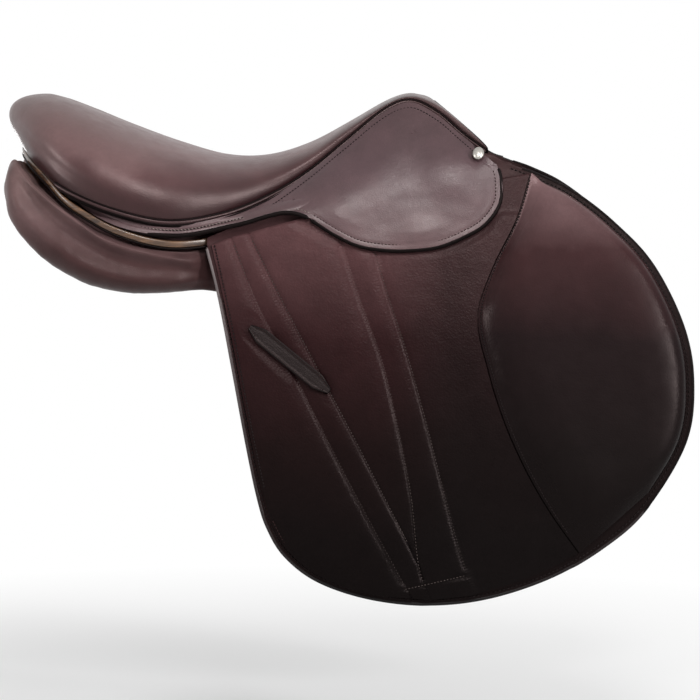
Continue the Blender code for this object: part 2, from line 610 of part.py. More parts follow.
def bar_frame(side):
    """The middle of the stirrup bar, on the flap's outer face, and the directions ahead, down and out from it."""
    x = (BAR_REAR_X + BAR_FRONT_X) / 2
    rear, middle, front = (side_point(x + d, fold_z(x + d) - BAR_DOWN, side) for d in (-20, 0, 20))
    below = side_point(x, fold_z(x) - BAR_DOWN - 10, side) - middle
    ahead = (front - rear).normalized()
    out = ahead.cross(below).normalized() * side
    down = out.cross(ahead).normalized() * side
    return middle, ahead, down, out


def bar_block(name, side, along, down, out, finish="steel"):
    """A straight block in the stirrup bar's frame, given by its two ends in each direction."""
    middle, ahead, below, outward = bar_frame(side)
    corners = [[middle + ahead * a + below * d for a in along] for d in down]
    return slab(name, [[p + outward * out[1] for p in row] for row in corners],
                [[p + outward * out[0] for p in row] for row in corners], finish)


def make_stirrup_bar(side, word):
    """The forged bar that carries the stirrup leather, its plate on the tree, and the catch at its open end."""
    half_long, half_tall = (BAR_FRONT_X - BAR_REAR_X) / 2, BAR_TALL / 2
    bar_in = BAR_OUT - BAR_THICK
    plate_out = bar_in - LEATHER_GAP
    plate_in = plate_out - BAR_PLATE_THICK
    bar = bar_block("stirrup_bar_" + word, side, (-half_long, half_long), (-half_tall, half_tall), (bar_in, BAR_OUT))
    plate = bar_block("bar_plate_shape_" + word, side, (6 - half_long, half_long + 5),
                      (-BAR_DOWN - PLATE_ABOVE_FOLD, half_tall + 6), (plate_in, plate_out))
    arm = bar_block("bar_arm_shape_" + word, side, (half_long - BAR_ARM, half_long - 0.4),
                    (0.4 - half_tall, half_tall - 0.4), (plate_in + 1, BAR_OUT - 1))
    join(bar, plate)
    join(bar, arm)
    catch = make_catch(side, word, -half_long - GAP, half_tall, (bar_in + 1, BAR_OUT - 1))
    make_tree_point(side, word, plate_in - SEWN_GAP)


def make_catch(side, word, front, radius, out):
    """The catch turns up about its round front end, to keep the stirrup leather on the bar."""
    middle, ahead, down, outward = bar_frame(side)
    pin = middle + ahead * (front - radius)
    nose = steps(8, -math.pi / 2, math.pi / 2)
    outline = [Vector((radius * math.cos(a), radius * math.sin(a))) for a in nose]
    outline += [Vector((radius - CATCH_LONG, radius * 0.7)), Vector((radius - CATCH_LONG, -radius * 0.7))]
    count = len(outline)
    points = [pin + ahead * a + down * d + outward * o for o in out for a, d in outline]
    faces = [tuple(range(count)), tuple(range(2 * count - 1, count - 1, -1))]
    faces += [(k, (k + 1) % count, (k + 1) % count + count, k + count) for k in range(count)]
    catch = add_object("bar_catch_" + word, points, faces, "steel")
    hang(pivot("catch_pivot_" + word, pin + outward * sum(out) / 2), catch)


def make_tree_point(side, word, out):
    """The tree's point, which runs down from its edge and behind the stirrup bar's plate."""
    outer, inner = [], []
    for u in RIBS_USED[RIBS_USED.index(POINT_RIBS[0]):RIBS_USED.index(POINT_RIBS[1]) + 1]:
        x = through(SEAT_RIBS, u)[2]
        knee, foot = fold_z(x) + PLATE_ABOVE_FOLD + 2, fold_z(x) - POINT_LONG
        for row, depths, offset in ((outer, TREE[0], out), (inner, TREE[1], out - POINT_THICK)):
            top = seat_point(u, 1, side, *depths) - Vector((0, 0, POINT_CLEAR))
            row.append([top] + [side_point(x, z, side, offset) for z in steps(4, knee, foot)])
    slab("tree_point_" + word, outer, inner, "wood")


def make_girth_web(side, word, place, first, last, x_rear, x_front):
    """A web strap that lies on the tree's rail and comes down behind the flap to the billets."""
    outer, inner = [], []
    ribs = [u for u in RIBS_USED if first <= u <= last]
    for n, u in enumerate(ribs):
        on_tree = [v for v in steps(HALF_SPREAD) if v > 0.4]
        outer.append([seat_point(u, v, side, *WEB[0]) for v in on_tree])
        inner.append([seat_point(u, v, side, *WEB[1]) for v in on_tree])
        welt_x = through(SEAT_RIBS, u)[2]
        foot_x = blend(x_front, x_rear, n / (len(ribs) - 1))
        for lean, down, out in WEB_PATH:
            x = blend(welt_x, foot_x, lean)
            z = inner[-1][-1].z - 4 if down is None else fold_z(x) - down
            outer[-1].append(side_point(x, z, side, out))
            inner[-1].append(side_point(x, z, side, out - GIRTH_WEB_THICK))
        if side == RIGHT:
            # The cells then split along the same diagonals as the seat's
            outer[-1].reverse()
            inner[-1].reverse()
    slab("girth_web_%s_%s" % (place, word), outer, inner, "webbing")


def make_billet(side, word, place, x_rear):
    """One girth strap, sewn to its web at the top and pointed at the tip."""
    x_middle = x_rear + BILLET_WIDE / 2
    top = fold_z(x_middle) - BILLET_HEAD
    cells = []
    for z in steps(9, top, BILLET_FOOT_Z + BILLET_TIP) + [BILLET_FOOT_Z]:
        half = BILLET_WIDE / 2 * (0.35 if z == BILLET_FOOT_Z else 1)
        cells.append([(x_middle + half * s, z) for s in (-1, 0, 1)])
    billet = side_slab("billet_%s_%s" % (place, word), side, cells, BILLET_OUT, BILLET_IN, "leather_dark")
    hang(pivot("billet_pivot_%s_%s" % (place, word), side_point(x_middle, top - 12, side, BILLET_OUT)), billet)


def make_sweat_flap(side, word):
    """The thin under flap, sewn to the panel, that lies between the billets and the horse."""
    top = ((SWEAT_REAR_X, fold_z(SWEAT_REAR_X) - SWEAT_TOP),
           (SWEAT_FRONT_X, fold_z(SWEAT_FRONT_X) - SWEAT_TOP - SWEAT_FRONT_DROP))
    rear = (top[0],) + inset(FLAP_REAR[3:], SWEAT_INSET)
    front = (top[1],) + inset(FLAP_FRONT[4:], SWEAT_INSET)
    foot = inset(FLAP_FOOT, SWEAT_INSET)
    cells = patch(top, foot, sample(rear, 9), sample(front, 9), 12)
    side_slab("sweat_flap_" + word, side, cells, SWEAT_OUT, SWEAT_IN, "leather_dark")


def beside(x, z):
    """How far out a panel may reach at (x, z): up to what hangs on that side."""
    down = fold_z(x) - z
    if x < -56 or down < -30:
        return 200.0
    offset = SWEAT_IN - SEWN_GAP
    plate_in = BAR_OUT - BAR_THICK - LEATHER_GAP - BAR_PLATE_THICK
    point_front, point_rear = (SEAT_RIBS[rib][2] for rib in POINT_RIBS)
    if point_rear - 22 < x < point_front + 36 and down < POINT_LONG + 14:
        offset = plate_in - SEWN_GAP - POINT_THICK - 1
    # The offset is square to the side's face, which leans
    return side_y(x, z) + (offset - 0.4) * math.hypot(1, (side_y(x, z - 1) - side_y(x, z + 1)) / 2)


def make_panel(side, word, ceiling):
    """The stuffed panel that rests beside the horse's spine, up against the pieces in ceiling."""
    rows = []
    flat = [(s[0],) + sum(s[1:], ()) for s in PANELS]
    for u in steps(2 * (len(PANELS) - 1), 0, len(PANELS) - 1):
        x, *numbers = through(flat, u)
        wall_top, *outline = zip(numbers[::2], numbers[1::2])
        shoulder = (max(outline[0][0] - PANEL_SHOULDER, wall_top[0] + 3), outline[0][1])
        wall = (wall_top[0], (wall_top[1] + outline[-1][1]) / 2 if wall_top[1] < 120 else outline[-1][1] + 20)
        ring = [wall, wall_top, ((wall_top[0] + shoulder[0]) / 2, wall_top[1]), shoulder, outline[0]]
        for a, b in zip(outline, outline[1:]):
            ring += [((a[0] + b[0]) / 2, (a[1] + b[1]) / 2), b]
        rows.append([])
        for y, z in ring:
            for near in (-PANEL_SEARCH, 0, PANEL_SEARCH):
                for beyond in (-PANEL_SEARCH, 0, PANEL_SEARCH):
                    hit = ceiling.ray_cast(Vector((x + near, y + beyond, -100)) * MM, (0, 0, 1))[0]
                    z = min(z, hit.z / MM - PANEL_CLEAR) if hit else z
            rows[-1].append(Vector((x, min(y, beside(x, z)) * side, z)))
    count = len(rows[0])
    points = [p for row in rows for p in row]
    faces = []
    for i in range(len(rows) - 1):
        for k in range(count):
            m = (k + 1) % count
            faces.append((i * count + k, i * count + m, (i + 1) * count + m, (i + 1) * count + k))
    for row in (0, len(rows) - 1):
        points.append(sum(rows[row], Vector()) / count)
        faces += [(row * count + k, row * count + (k + 1) % count, len(points) - 1) for k in range(count)]
    add_object("panel_" + word, points, faces, "leather")


def make_stud(side, word):
    """The domed nail head at the front of the skirt."""
    base = side_point(STUD_X, STUD_Z, side, AXIS_OUT + GAP)
    normal = (side_point(STUD_X, STUD_Z, side, 10) - side_point(STUD_X, STUD_Z, side)).normalized()
    profile = [(0, STUD_HIGH)] + [(STUD_RADIUS * math.sin(a), STUD_HIGH * math.cos(a)) for a in (0.6, 1.1, 1.45)]
    profile += [(STUD_RADIUS, 0), (0, 0)]
    count = 12
    points = [Vector((0, 0, STUD_HIGH)), Vector((0, 0, 0))]
    faces = []
    for r, h in profile[1:-1]:
        points += [Vector((r * math.cos(a), r * math.sin(a), h)) for a in steps(count, 0, 2 * math.pi)[:-1]]
    for k in range(count):
        m = (k + 1) % count
        faces.append((0, 2 + k, 2 + m))
        for ring in range(3):
            a, b = 2 + ring * count, 2 + (ring + 1) * count
            faces.append((a + k, b + k, b + m, a + m))
        faces.append((2 + 3 * count + k, 1, 2 + 3 * count + m))
    turn = normal.to_track_quat("Z", "X").to_matrix()
    add_object("stud_" + word, [base + turn @ p for p in points], faces, "steel")


def main():
    for old in list(bpy.data.objects):
        bpy.data.objects.remove(old)
    above = bmesh.new()
    for piece in make_seat() + [make_rim()]:
        above.from_mesh(piece.data)
    ceiling = BVHTree.FromBMesh(above)
    above.free()
    for side, word in SIDES:
        make_welt(side, word)
        skirt = make_skirt(side, word)
        flap_pieces = make_flap(side, word)
        keeper = make_keeper(side, word)
        fold = pivot("fold_" + word, side_point(90, fold_z(90), side, AXIS_OUT))
        hang(fold, skirt, keeper, *flap_pieces)
        rows = [[(x, fold_z(x) - d) for x in (WINDOW_REAR_X, WINDOW_FRONT_X)] for d in (WINDOW_TOP, WINDOW_LOW)]
        window = side_slab("bar_window_" + word, side, rows, 8, -20, "steel")
        for piece in flap_pieces[:2]:
            cut(piece, window)
        make_stirrup_bar(side, word)
        for web in WEBS:
            make_girth_web(side, word, *web)
        for place, x_rear in BILLETS:
            make_billet(side, word, place, x_rear)
        make_sweat_flap(side, word)
        make_panel(side, word, ceiling)
        make_stud(side, word)


main()
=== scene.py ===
"""The looks of a jumping saddle, on the frame of its solids. The saddle points along +X, +Y is its left side
and +Z is up. Lengths below are in millimetres unless a name says otherwise, and MM turns them into metres."""

import math

import bmesh
import bpy
import numpy as np
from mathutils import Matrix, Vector, noise
from mathutils.bvhtree import BVHTree


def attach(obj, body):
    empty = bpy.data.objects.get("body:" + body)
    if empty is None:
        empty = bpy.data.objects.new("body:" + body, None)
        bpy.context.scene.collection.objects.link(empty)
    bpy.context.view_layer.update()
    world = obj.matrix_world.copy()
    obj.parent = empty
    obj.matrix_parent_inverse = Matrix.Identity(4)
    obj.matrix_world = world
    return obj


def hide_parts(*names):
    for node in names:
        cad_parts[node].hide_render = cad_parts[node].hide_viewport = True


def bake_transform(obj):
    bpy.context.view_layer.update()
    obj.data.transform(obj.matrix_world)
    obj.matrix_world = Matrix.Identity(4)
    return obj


MM = 0.001
GAP = 0.3  # between pieces that touch

# Seat ribs from the pommel's front rim to the middle of the cantle. Each rib runs from the spine line
# (spine_x, spine_z) out to the welt (welt_x, welt_y, welt_z). top_reach is how far it runs out level from
# the spine, bulge how far it stands out over the welt, and rise how steeply it comes down to it.
SEAT_RIBS = (
    # spine_x, spine_z, welt_x, welt_y, welt_z, top_reach, bulge, rise
    (157, 178, 205, 74, 134, 40, 5, 3),
    (152, 181, 184, 63, 149, 34, 7, 9),
    (145, 183, 160, 51, 169, 28, 6, 7),
    (132, 184, 135, 42, 180, 22, 4, 4),
    (112, 177, 110, 45, 172, 24, 4, 4),
    (80, 159, 72, 55, 142, 32, 6, 11),
    (40, 138, 36, 66, 113, 38, 8, 16),
    (0, 126, 0, 81, 92, 48, 9, 20),
    (-40, 126, -41, 102, 77, 62, 10, 28),
    (-85, 138, -91, 123, 71, 78, 10, 38),
    (-130, 154, -142, 123, 82, 82, 12, 42),
    (-165, 168, -187, 108, 100, 80, 15, 42),
    (-190, 178, -215, 80, 118, 70, 20, 38),
    (-205, 183, -231, 40, 132, 54, 22, 32),
    (-212, 184, -236, 0, 137, 42, 22, 26),
)
LAST_RIB = len(SEAT_RIBS) - 1
# Past the last rib the seat goes on as its own mirror image, so that it is smooth across the middle
ROUND_RIBS = SEAT_RIBS + (SEAT_RIBS[-2][:3] + (-SEAT_RIBS[-2][3],) + SEAT_RIBS[-2][4:],)
SEAT_DISH = 5.0  # how much lower the middle of the seat is than its two sides, at the cantle
DISH_START, DISH_FADE = 8, 3  # the rib where the dish starts, and over how many ribs it fades in and out
COVER_THICK = 3.0

# The fold line, straight along the top of each flap, about which the flap and the skirt lift
FOLD_REAR = (-55.0, 114.0, 49.0)
FOLD_FRONT = (228.0, 83.0, 121.9)
HIP_LINE = ((-240, 98), (-187, 110), (-142, 125), (-102, 127), (-75, 120))  # behind the fold: (x, y)
BARREL_DEPTH, BARREL_SWELL = 380.0, 70.0  # the side swells out by this much down to this depth
FRONT_FLARE = 24.0  # extra swell at the front of the flap's foot
FLARE_EASE = 16.0  # the flare sets in over this much above and below the fold
FLARE_LONG, FLARE_MOST = 290.0, 1.4  # it grows to its full size over this length, and on to this share
TURN_ABOVE_FOLD, TURN_ROUNDING = 13.0, 5.0  # where the side turns in towards the welt
TURN_RISE = 14.0  # it leans in as if the welt lay at least this far above the turn

# Layers of each side, as offsets from the outer face of the flap: minus is towards the horse
SKIRT_THICK = 4.0
SKIRT_CLEAR = 1.0
FACING_THICK = 3.4
FLAP_THICK = 4.0
SEWN_GAP = 0.5  # between curved sheets that are sewn together
BILLET_CLEAR = 1.8
BILLET_THICK = 4.0
SWEAT_FLAP_THICK = 3.0
GIRTH_WEB_THICK = 1.5
FLAP_OUT = -FACING_THICK - SEWN_GAP
FLAP_IN = FLAP_OUT - FLAP_THICK
BILLET_OUT = FLAP_IN - BILLET_CLEAR
BILLET_IN = BILLET_OUT - BILLET_THICK
WEB_OUT = BILLET_IN - SEWN_GAP
WEB_IN = WEB_OUT - GIRTH_WEB_THICK
SWEAT_OUT = WEB_IN - SEWN_GAP
SWEAT_IN = SWEAT_OUT - SWEAT_FLAP_THICK
SKIRT_OUT = SKIRT_CLEAR + SKIRT_THICK  # the skirt's outer face, on which the fold axis lies
FOLD_GAP = 0.6  # between what stays and what lifts, along the fold

# Outlines in side view, (x, z)
FLAP_REAR = ((-55, 49), (-43, 0), (-30, -66), (-17, -134), (-7, -180), (2, -208))
FLAP_FOOT = ((2, -208), (18, -234), (48, -257), (95, -273), (150, -279), (205, -273), (262, -254),
             (310, -226), (348, -192))
FLAP_FRONT = ((228, 121), (257, 110), (287, 95), (323, 67), (358, 29), (385, -27), (393, -78), (385, -132),
              (348, -192))
SKIRT_LOW = ((-187, 94), (-164, 77), (-142, 65), (-122, 59), (-101, 56), (-80, 55), (-60, 57), (-40, 61),
             (-19, 66), (1, 72), (18, 75), (34, 73))
SKIRT_EDGE = ((34, 72), (63, 55), (85, 45), (110, 41), (134, 41), (159, 44), (183, 53), (203, 65), (216, 84),
              (219, 98), (213, 117))
SKIRT_REAR_X, SKIRT_FRONT_X = -191.0, 212.0
FLAP_HEAD_RISE = ((-55, 5), (0, 14), (60, 30), (120, 40), (170, 34), (196, 19),
                  (210, 11.5), (220, 4.4), (228, 0.3))
KNEE_REAR = ((245, 112), (231, 69), (208, 24), (194, -20), (203, -66), (217, -111), (236, -154), (259, -194),
             (286, -232))
KNEE_CROWN = 15.0
KNEE_MARGIN = 5.5  # from the knee pad to the flap's front edge
WINDOW_REAR_X, WINDOW_FRONT_X, WINDOW_TOP, WINDOW_LOW = 93.0, 189.0, 8.0, 41.0

# Stirrup bars and the tree's points, which the panels stay clear of
BAR_OUT, BAR_THICK = -3.6, 6.0
LEATHER_GAP = 11.0  # between the bar and its plate
BAR_PLATE_THICK = 3.0
POINT_THICK, POINT_LONG, POINT_RIBS = 9.0, 96.0, (2, 4)

# The flap's quilting: the rear edge of its padding, then four sewn lines, each from the fold to the foot.
# The second and third lines meet before the foot.
FACING_REAR = ((-51, 47), (-41, 4), (-31, -42), (-22, -88), (-13, -132), (-4, -172), (6, -205))
QUILT_LINES = (
    ((-33, 54), (-8, -8), (24, -67), (55, -127), (87, -188), (117, -243), (133, -273)),
    ((-17, 58), (14, -3), (46, -63), (79, -124), (110, -184), (140, -243), (151, -275)),
    ((60, 78), (84, 3), (106, -57), (121, -118), (133, -180), (140, -243), (151, -275)),
    ((87, 85), (110, 8), (129, -50), (146, -110), (162, -172), (177, -228), (191, -270)),
)
FACING_FEET = (
    ((6, -205), (21, -230), (50, -253), (94, -269), (133, -273)),
    ((133, -273), (151, -275)),
    ((151, -275), (151, -275)),
    ((151, -275), (191, -270)),
    ((191, -270), (242, -254), (286, -232)),
)

# The billets, which are the girth straps under the flap: where each one's rear edge is, and their ends
BILLET_WIDE = 25.0
BILLETS = (("rear", 0.0), ("middle", 36.0), ("front", 72.0))
BILLET_HEAD, BILLET_FOOT_Z, BILLET_TIP = 34.0, -212.0, 26.0
SWEAT_INSET, SWEAT_TOP = 13.0, 46.0
SWEAT_REAR_X, SWEAT_FRONT_X, SWEAT_FRONT_DROP = -34.0, 310.0, 70.0

# The stirrup leather keeper on the flap
KEEPER_REAR, KEEPER_FRONT = (-15.0, -28.0), (58.0, -86.0)
KEEPER_WIDE, KEEPER_THICK = 15.0, 3.0

WELT_RADIUS, WELT_REACH = 1.9, 0.6
STUD_RADIUS, STUD_HIGH = 7.0, 3.2
STUD_X, STUD_Z = 197.0, 127.0
PAST_STUD, PAST_STUD_SLOPE = 6.0, 0.7  # from there on the skirt's top edge comes down this steeply
RIM_TALL, RIM_THICK = 6.5, 3.5
RIM_DROP = ((8, 22), (9, 19.5), (10, 16.7), (10.5, 12.7), (11, 8.7), (11.5, 2.5), (12, 0.8), (14, 0.8))
RIM_SPREAD = ((8, -2), (10, 3), (11, 3), (12, 1), (14, 0))

# Panels: at each x, (y, z) of the inner wall's top, the top's outer edge, the upper roll, the sewn channel,
# the lower roll, the foot and the foot's inner corner. Where the tree comes lower, the top stays below it.
# The rear end is rounder than the solid's, and its sewn channel lies nearer to its top.
PANELS = (
    (-246, (64, 103), (72, 106), (80, 104), (84, 99), (84, 92), (79, 87), (68, 90)),
    (-242, (54, 118), (70, 121), (82, 116), (90, 107), (95, 92), (88, 74), (62, 84)),
    (-233, (40, 121), (74, 125), (90, 116), (95, 106), (106, 82), (97, 61), (54, 74)),
    (-220, (32, 110), (78, 110), (98, 104), (99, 92), (111, 68), (98, 47), (50, 60)),
    (-200, (27, 93), (96, 92), (114, 86), (108, 74), (120, 50), (100, 31), (47, 46)),
    (-175, (25, 88), (112, 73), (124, 69), (117, 56), (127, 33), (100, 17), (44, 37)),
    (-150, (25, 140), (119, 58), (129, 52), (122, 41), (129, 22), (99, 9), (42, 31)),
    (-120, (25, 140), (123, 49), (131, 42), (125, 31), (128, 14), (98, 4), (42, 26)),
    (-85, (25, 140), (119, 42), (128, 35), (122, 26), (123, 12), (96, 3), (42, 25)),
    (-65, (25, 140), (106, 42), (114, 32), (111, 22), (109, 12), (93, 4), (42, 26)),
    (-48, (25, 140), (94, 48), (100, 36), (100, 22), (99, 10), (88, 2), (42, 27)),
    (-10, (25, 140), (86, 58), (96, 34), (103, 20), (109, 4), (90, -3), (43, 28)),
    (40, (27, 140), (72, 76), (86, 40), (98, 15), (107, -6), (88, -15), (45, 26)),
    (90, (30, 116), (58, 86), (70, 50), (84, 10), (100, -24), (90, -33), (50, 20)),
    (140, (36, 116), (50, 96), (58, 60), (72, 10), (90, -32), (84, -42), (56, 10)),
    (185, (46, 100), (54, 92), (62, 56), (76, 6), (94, -32), (90, -42), (62, 4)),
    (212, (58, 86), (62, 84), (68, 58), (78, 20), (90, -4), (86, -14), (68, 16)),
)
PANEL_SHOULDER = 12.0
PANEL_CLEAR = 3.5
PANEL_SEARCH = 9.0  # a panel stays under all that lies this near, to both sides and fore and aft


# Curves and surfaces, which follow the solids'

def blend(a, b, t):
    return a + (b - a) * t


def share_of(value, whole):
    """value as a share of whole, held between 0 and 1."""
    return min(max(value / whole, 0), 1)


def eased(share):
    """A rise from 0 to 1 that starts and ends level."""
    return share * share * (3 - 2 * share)


def hermite(a, b, slope_a, slope_b, t):
    """Cubic from a to b over t 0 to 1."""
    return ((2 * t**3 - 3 * t**2 + 1) * a + (t**3 - 2 * t**2 + t) * slope_a
            + (3 * t**2 - 2 * t**3) * b + (t**3 - t**2) * slope_b)


def through(rows, u):
    """The smooth curve through rows, at row number u."""
    last = len(rows) - 1
    u = min(max(u, 0.0), last)
    i = min(int(u), last - 1)
    a, b = rows[i], rows[i + 1]
    before = rows[i - 1] if i else [2 * p - q for p, q in zip(a, b)]
    after = rows[i + 2] if i + 2 <= last else [2 * q - p for p, q in zip(a, b)]
    return [hermite(p, q, (q - o) / 2, (r - p) / 2, u - i) for o, p, q, r in zip(before, a, b, after)]


def height_at(points, x):
    """The smooth curve through (x, value) points, at each x. It runs on straight past both ends."""
    xs, values = (np.array(row, float) for row in zip(*sorted(points)))
    last = len(xs) - 1
    low, high = np.maximum(np.arange(last + 1) - 1, 0), np.minimum(np.arange(last + 1) + 1, last)
    slopes = (values[high] - values[low]) / (xs[high] - xs[low])
    x = np.asarray(x, float)
    i = np.clip(np.searchsorted(xs, x, side="right") - 1, 0, last - 1)
    wide = xs[i + 1] - xs[i]
    inside = hermite(values[i], values[i + 1], slopes[i] * wide, slopes[i + 1] * wide, (x - xs[i]) / wide)
    before = values[0] + slopes[0] * (x - xs[0])
    after = values[-1] + slopes[-1] * (x - xs[-1])
    return np.where(x <= xs[0], before, np.where(x >= xs[-1], after, inside))


def seat_point(u, v, spine_depth=0.0, edge_depth=None, drop=0.0):
    """A point of the seat's left half: u is the rib's number, v runs from 0 at the spine to 1 at the welt,
    and drop is how much lower the welt lies."""
    edge_depth = spine_depth if edge_depth is None else edge_depth
    depth = blend(spine_depth, edge_depth, v)
    spine_x, spine_z, welt_x, welt_y, welt_z, reach, bulge, rise = through(ROUND_RIBS, u)
    run = Vector((welt_x - spine_x, max(welt_y, 0.0), 0))
    run = run.normalized() if run.length > 1e-6 else Vector((-1, 0, 0))
    dish = SEAT_DISH * share_of(u - DISH_START, DISH_FADE) * share_of(LAST_RIB - u, DISH_FADE)
    p0 = Vector((spine_x, 0, spine_z - depth))
    p3 = Vector((welt_x, max(welt_y, 0.0), welt_z - drop)) - run * depth
    across = Vector((0, 1, 0)).lerp(run, share_of(u - LAST_RIB + 2, 2)).normalized()
    p1 = p0 + across * (reach - depth * 0.5) + Vector((0, 0, dish))
    p2 = p3 + run * bulge + Vector((0, 0, rise))
    s = 1 - v
    return p0 * s**3 + p1 * 3 * s * s * v + p2 * 3 * s * v * v + p3 * v**3


WELT_LINE = tuple((rib[2], rib[3]) for rib in SEAT_RIBS[:12])
WELT_HEIGHT = tuple((rib[2], rib[4]) for rib in SEAT_RIBS[:12])
FOLD_SLOPE_Z = (FOLD_FRONT[2] - FOLD_REAR[2]) / (FOLD_FRONT[0] - FOLD_REAR[0])
FOLD_SLOPE_Y = (FOLD_FRONT[1] - FOLD_REAR[1]) / (FOLD_FRONT[0] - FOLD_REAR[0])
HIP_AND_FOLD = HIP_LINE + tuple((a, FOLD_REAR[1] + (a - FOLD_REAR[0]) * FOLD_SLOPE_Y)
                                for a in (-45, 0, 100, 236, 400))


def fold_z(x):
    return FOLD_REAR[2] + (x - FOLD_REAR[0]) * FOLD_SLOPE_Z


def side_y(x, z):
    """Distance of the flap's outer face from the middle plane."""
    down = fold_z(x) - z
    share = np.clip(down / BARREL_DEPTH, 0, 1)
    steep = BARREL_SWELL * math.pi / 2 / BARREL_DEPTH
    swell = np.where(down > 0, BARREL_SWELL * np.sin(math.pi / 2 * share), steep * down)
    below = np.where(np.abs(down) < FLARE_EASE, (down + FLARE_EASE)**2 / (4 * FLARE_EASE),
                     np.maximum(down, 0))
    forward = np.clip((x - FOLD_REAR[0]) / FLARE_LONG, 0, FLARE_MOST)
    flare = FRONT_FLARE * np.clip(below / BARREL_DEPTH, 0, 1) * forward
    inner = np.minimum(x, WELT_LINE[0][0])
    turn = height_at(HIP_AND_FOLD, inner) - steep * TURN_ABOVE_FOLD
    welt_in = height_at(WELT_LINE, inner) - SKIRT_OUT
    rise = height_at(WELT_HEIGHT, inner) - fold_z(inner) - TURN_ABOVE_FOLD
    lean = (turn - welt_in) / np.maximum(rise, TURN_RISE)
    a = height_at(HIP_AND_FOLD, x) - steep * TURN_ABOVE_FOLD + lean * (down + TURN_ABOVE_FOLD)
    b = height_at(HIP_AND_FOLD, x) + swell + flare
    h = np.clip(0.5 + (b - a) / (2 * TURN_ROUNDING), 0, 1)
    return blend(b, a, h) - TURN_ROUNDING * h * (1 - h)


def side_normals(x, z):
    x, z = np.asarray(x, float), np.asarray(z, float)
    normal = np.stack([(side_y(x - 1, z) - side_y(x + 1, z)) / 2, np.ones_like(x),
                       (side_y(x, z - 1) - side_y(x, z + 1)) / 2], axis=-1)
    return normal / np.linalg.norm(normal, axis=-1, keepdims=True)


def side_points(cells, out=0.0):
    """The points of the left side that stand out from the flap's outer face at cells, an array of (x, z)."""
    cells = np.asarray(cells, float)
    x, z = cells[..., 0], cells[..., 1]
    base = np.stack([x, side_y(x, z), z], axis=-1)
    return base + side_normals(x, z) * np.asarray(out, float)[..., None]


CURVE_CUTS = 40  # into how many pieces each stretch of a curve is cut before it is measured


def steps(count, low=0.0, high=1.0):
    return [blend(low, high, i / count) for i in range(count + 1)]


def sample(points, count):
    """Points along the smooth curve through points, count steps from end to end."""
    return [through(points, u) for u in steps(count, 0, len(points) - 1)]


def run_of(points):
    """How far along a run of points each of them is."""
    return np.concatenate([[0], np.cumsum(np.linalg.norm(np.diff(points, axis=0), axis=1))])


def at_run(at, run, rows):
    """The rows at the distances at, where run is how far along each row is."""
    return np.stack([np.interp(at, run, rows[:, k]) for k in range(rows.shape[1])], axis=-1)


def even(points, pitch):
    """The smooth curve through points, cut into equal steps of about pitch."""
    fine = np.array(sample(points, CURVE_CUTS * (len(points) - 1)), float)
    run = run_of(fine)
    count = max(int(round(run[-1] / pitch)), 1)
    return at_run(np.linspace(0, run[-1], count + 1), run, fine)


def patch(top, foot, rear, front, across):
    """A grid of (x, z) that fills four edges: top and foot are curves that run forward, and rear and front
    are lists of as many points, which run down."""
    tops = np.array(sample(top, across))
    feet = np.array(foot if len(foot) == across + 1 else sample(foot, across))
    rear, front = np.array(rear), np.array(front)
    t = np.linspace(0, 1, len(rear))[:, None, None]
    s = np.linspace(0, 1, across + 1)[None, :, None]
    return (blend(tops[None], feet[None], t) + blend(rear[:, None], front[:, None], s)
            - blend(blend(tops[0], tops[-1], s), blend(feet[0], feet[-1], s), t))


def nearest(cells, line):
    """For each (x, z): how far it is from the line, a run of points, and how far along the line that is."""
    line = np.asarray(line, float)
    a, b = line[:-1], line[1:]
    way = b - a
    long = np.maximum((way**2).sum(-1), 1e-9)
    run = np.concatenate([[0], np.cumsum(np.sqrt(long))])
    flat = np.asarray(cells, float).reshape(-1, 2)
    best, along = np.full(len(flat), 1e9), np.zeros(len(flat))
    for k in range(len(a)):
        t = np.clip(((flat - a[k]) @ way[k]) / long[k], 0, 1)
        gap = np.linalg.norm(flat - a[k] - t[:, None] * way[k], axis=1)
        closer = gap < best
        best[closer] = gap[closer]
        along[closer] = (run[k] + t * math.sqrt(long[k]))[closer]
    shape = np.asarray(cells).shape[:-1]
    return best.reshape(shape), along.reshape(shape)


def waves(points, size, seed):
    """Smooth noise from -1 to 1 at each point, with bumps about size wide."""
    points = np.asarray(points, float)
    flat = points.reshape(-1, points.shape[-1])
    put = [noise.noise(Vector((p[0] / size + seed, p[1] / size - seed, p[-1] / size + 2 * seed)))
           for p in flat]
    return np.array(put).reshape(points.shape[:-1])


# Meshes

SHARP = math.radians(50)  # edges sharper than this stay sharp
WELD = 3e-6  # in metres: points nearer to each other than this become one


def add_object(name, mesh, materials):
    for material in materials:
        mesh.materials.append(material)
    mesh.shade_smooth()
    made = bpy.data.objects.new(name, mesh)
    bpy.context.scene.collection.objects.link(made)
    return made


def mesh_object(name, points, faces, materials):
    """An object from points in millimetres."""
    mesh = bpy.data.meshes.new(name)
    mesh.from_pydata([tuple(p) for p in np.asarray(points, float) * MM], [], [tuple(f) for f in faces])
    return add_object(name, mesh, materials)


def from_bmesh(name, shape, materials):
    bmesh.ops.recalc_face_normals(shape, faces=shape.faces)
    mesh = bpy.data.meshes.new(name)
    shape.to_mesh(mesh)
    shape.free()
    made = add_object(name, mesh, materials)
    mesh.set_sharp_from_angle(angle=SHARP)
    return made


def vectors_of(mesh, word="co"):
    """The places of a mesh's vertices, in metres, or their normals, as rows of three."""
    numbers = np.empty(len(mesh.vertices) * 3)
    mesh.vertices.foreach_get(word, numbers)
    return numbers.reshape(-1, 3)


def put_vertices(mesh, places):
    mesh.vertices.foreach_set("co", places.reshape(-1))


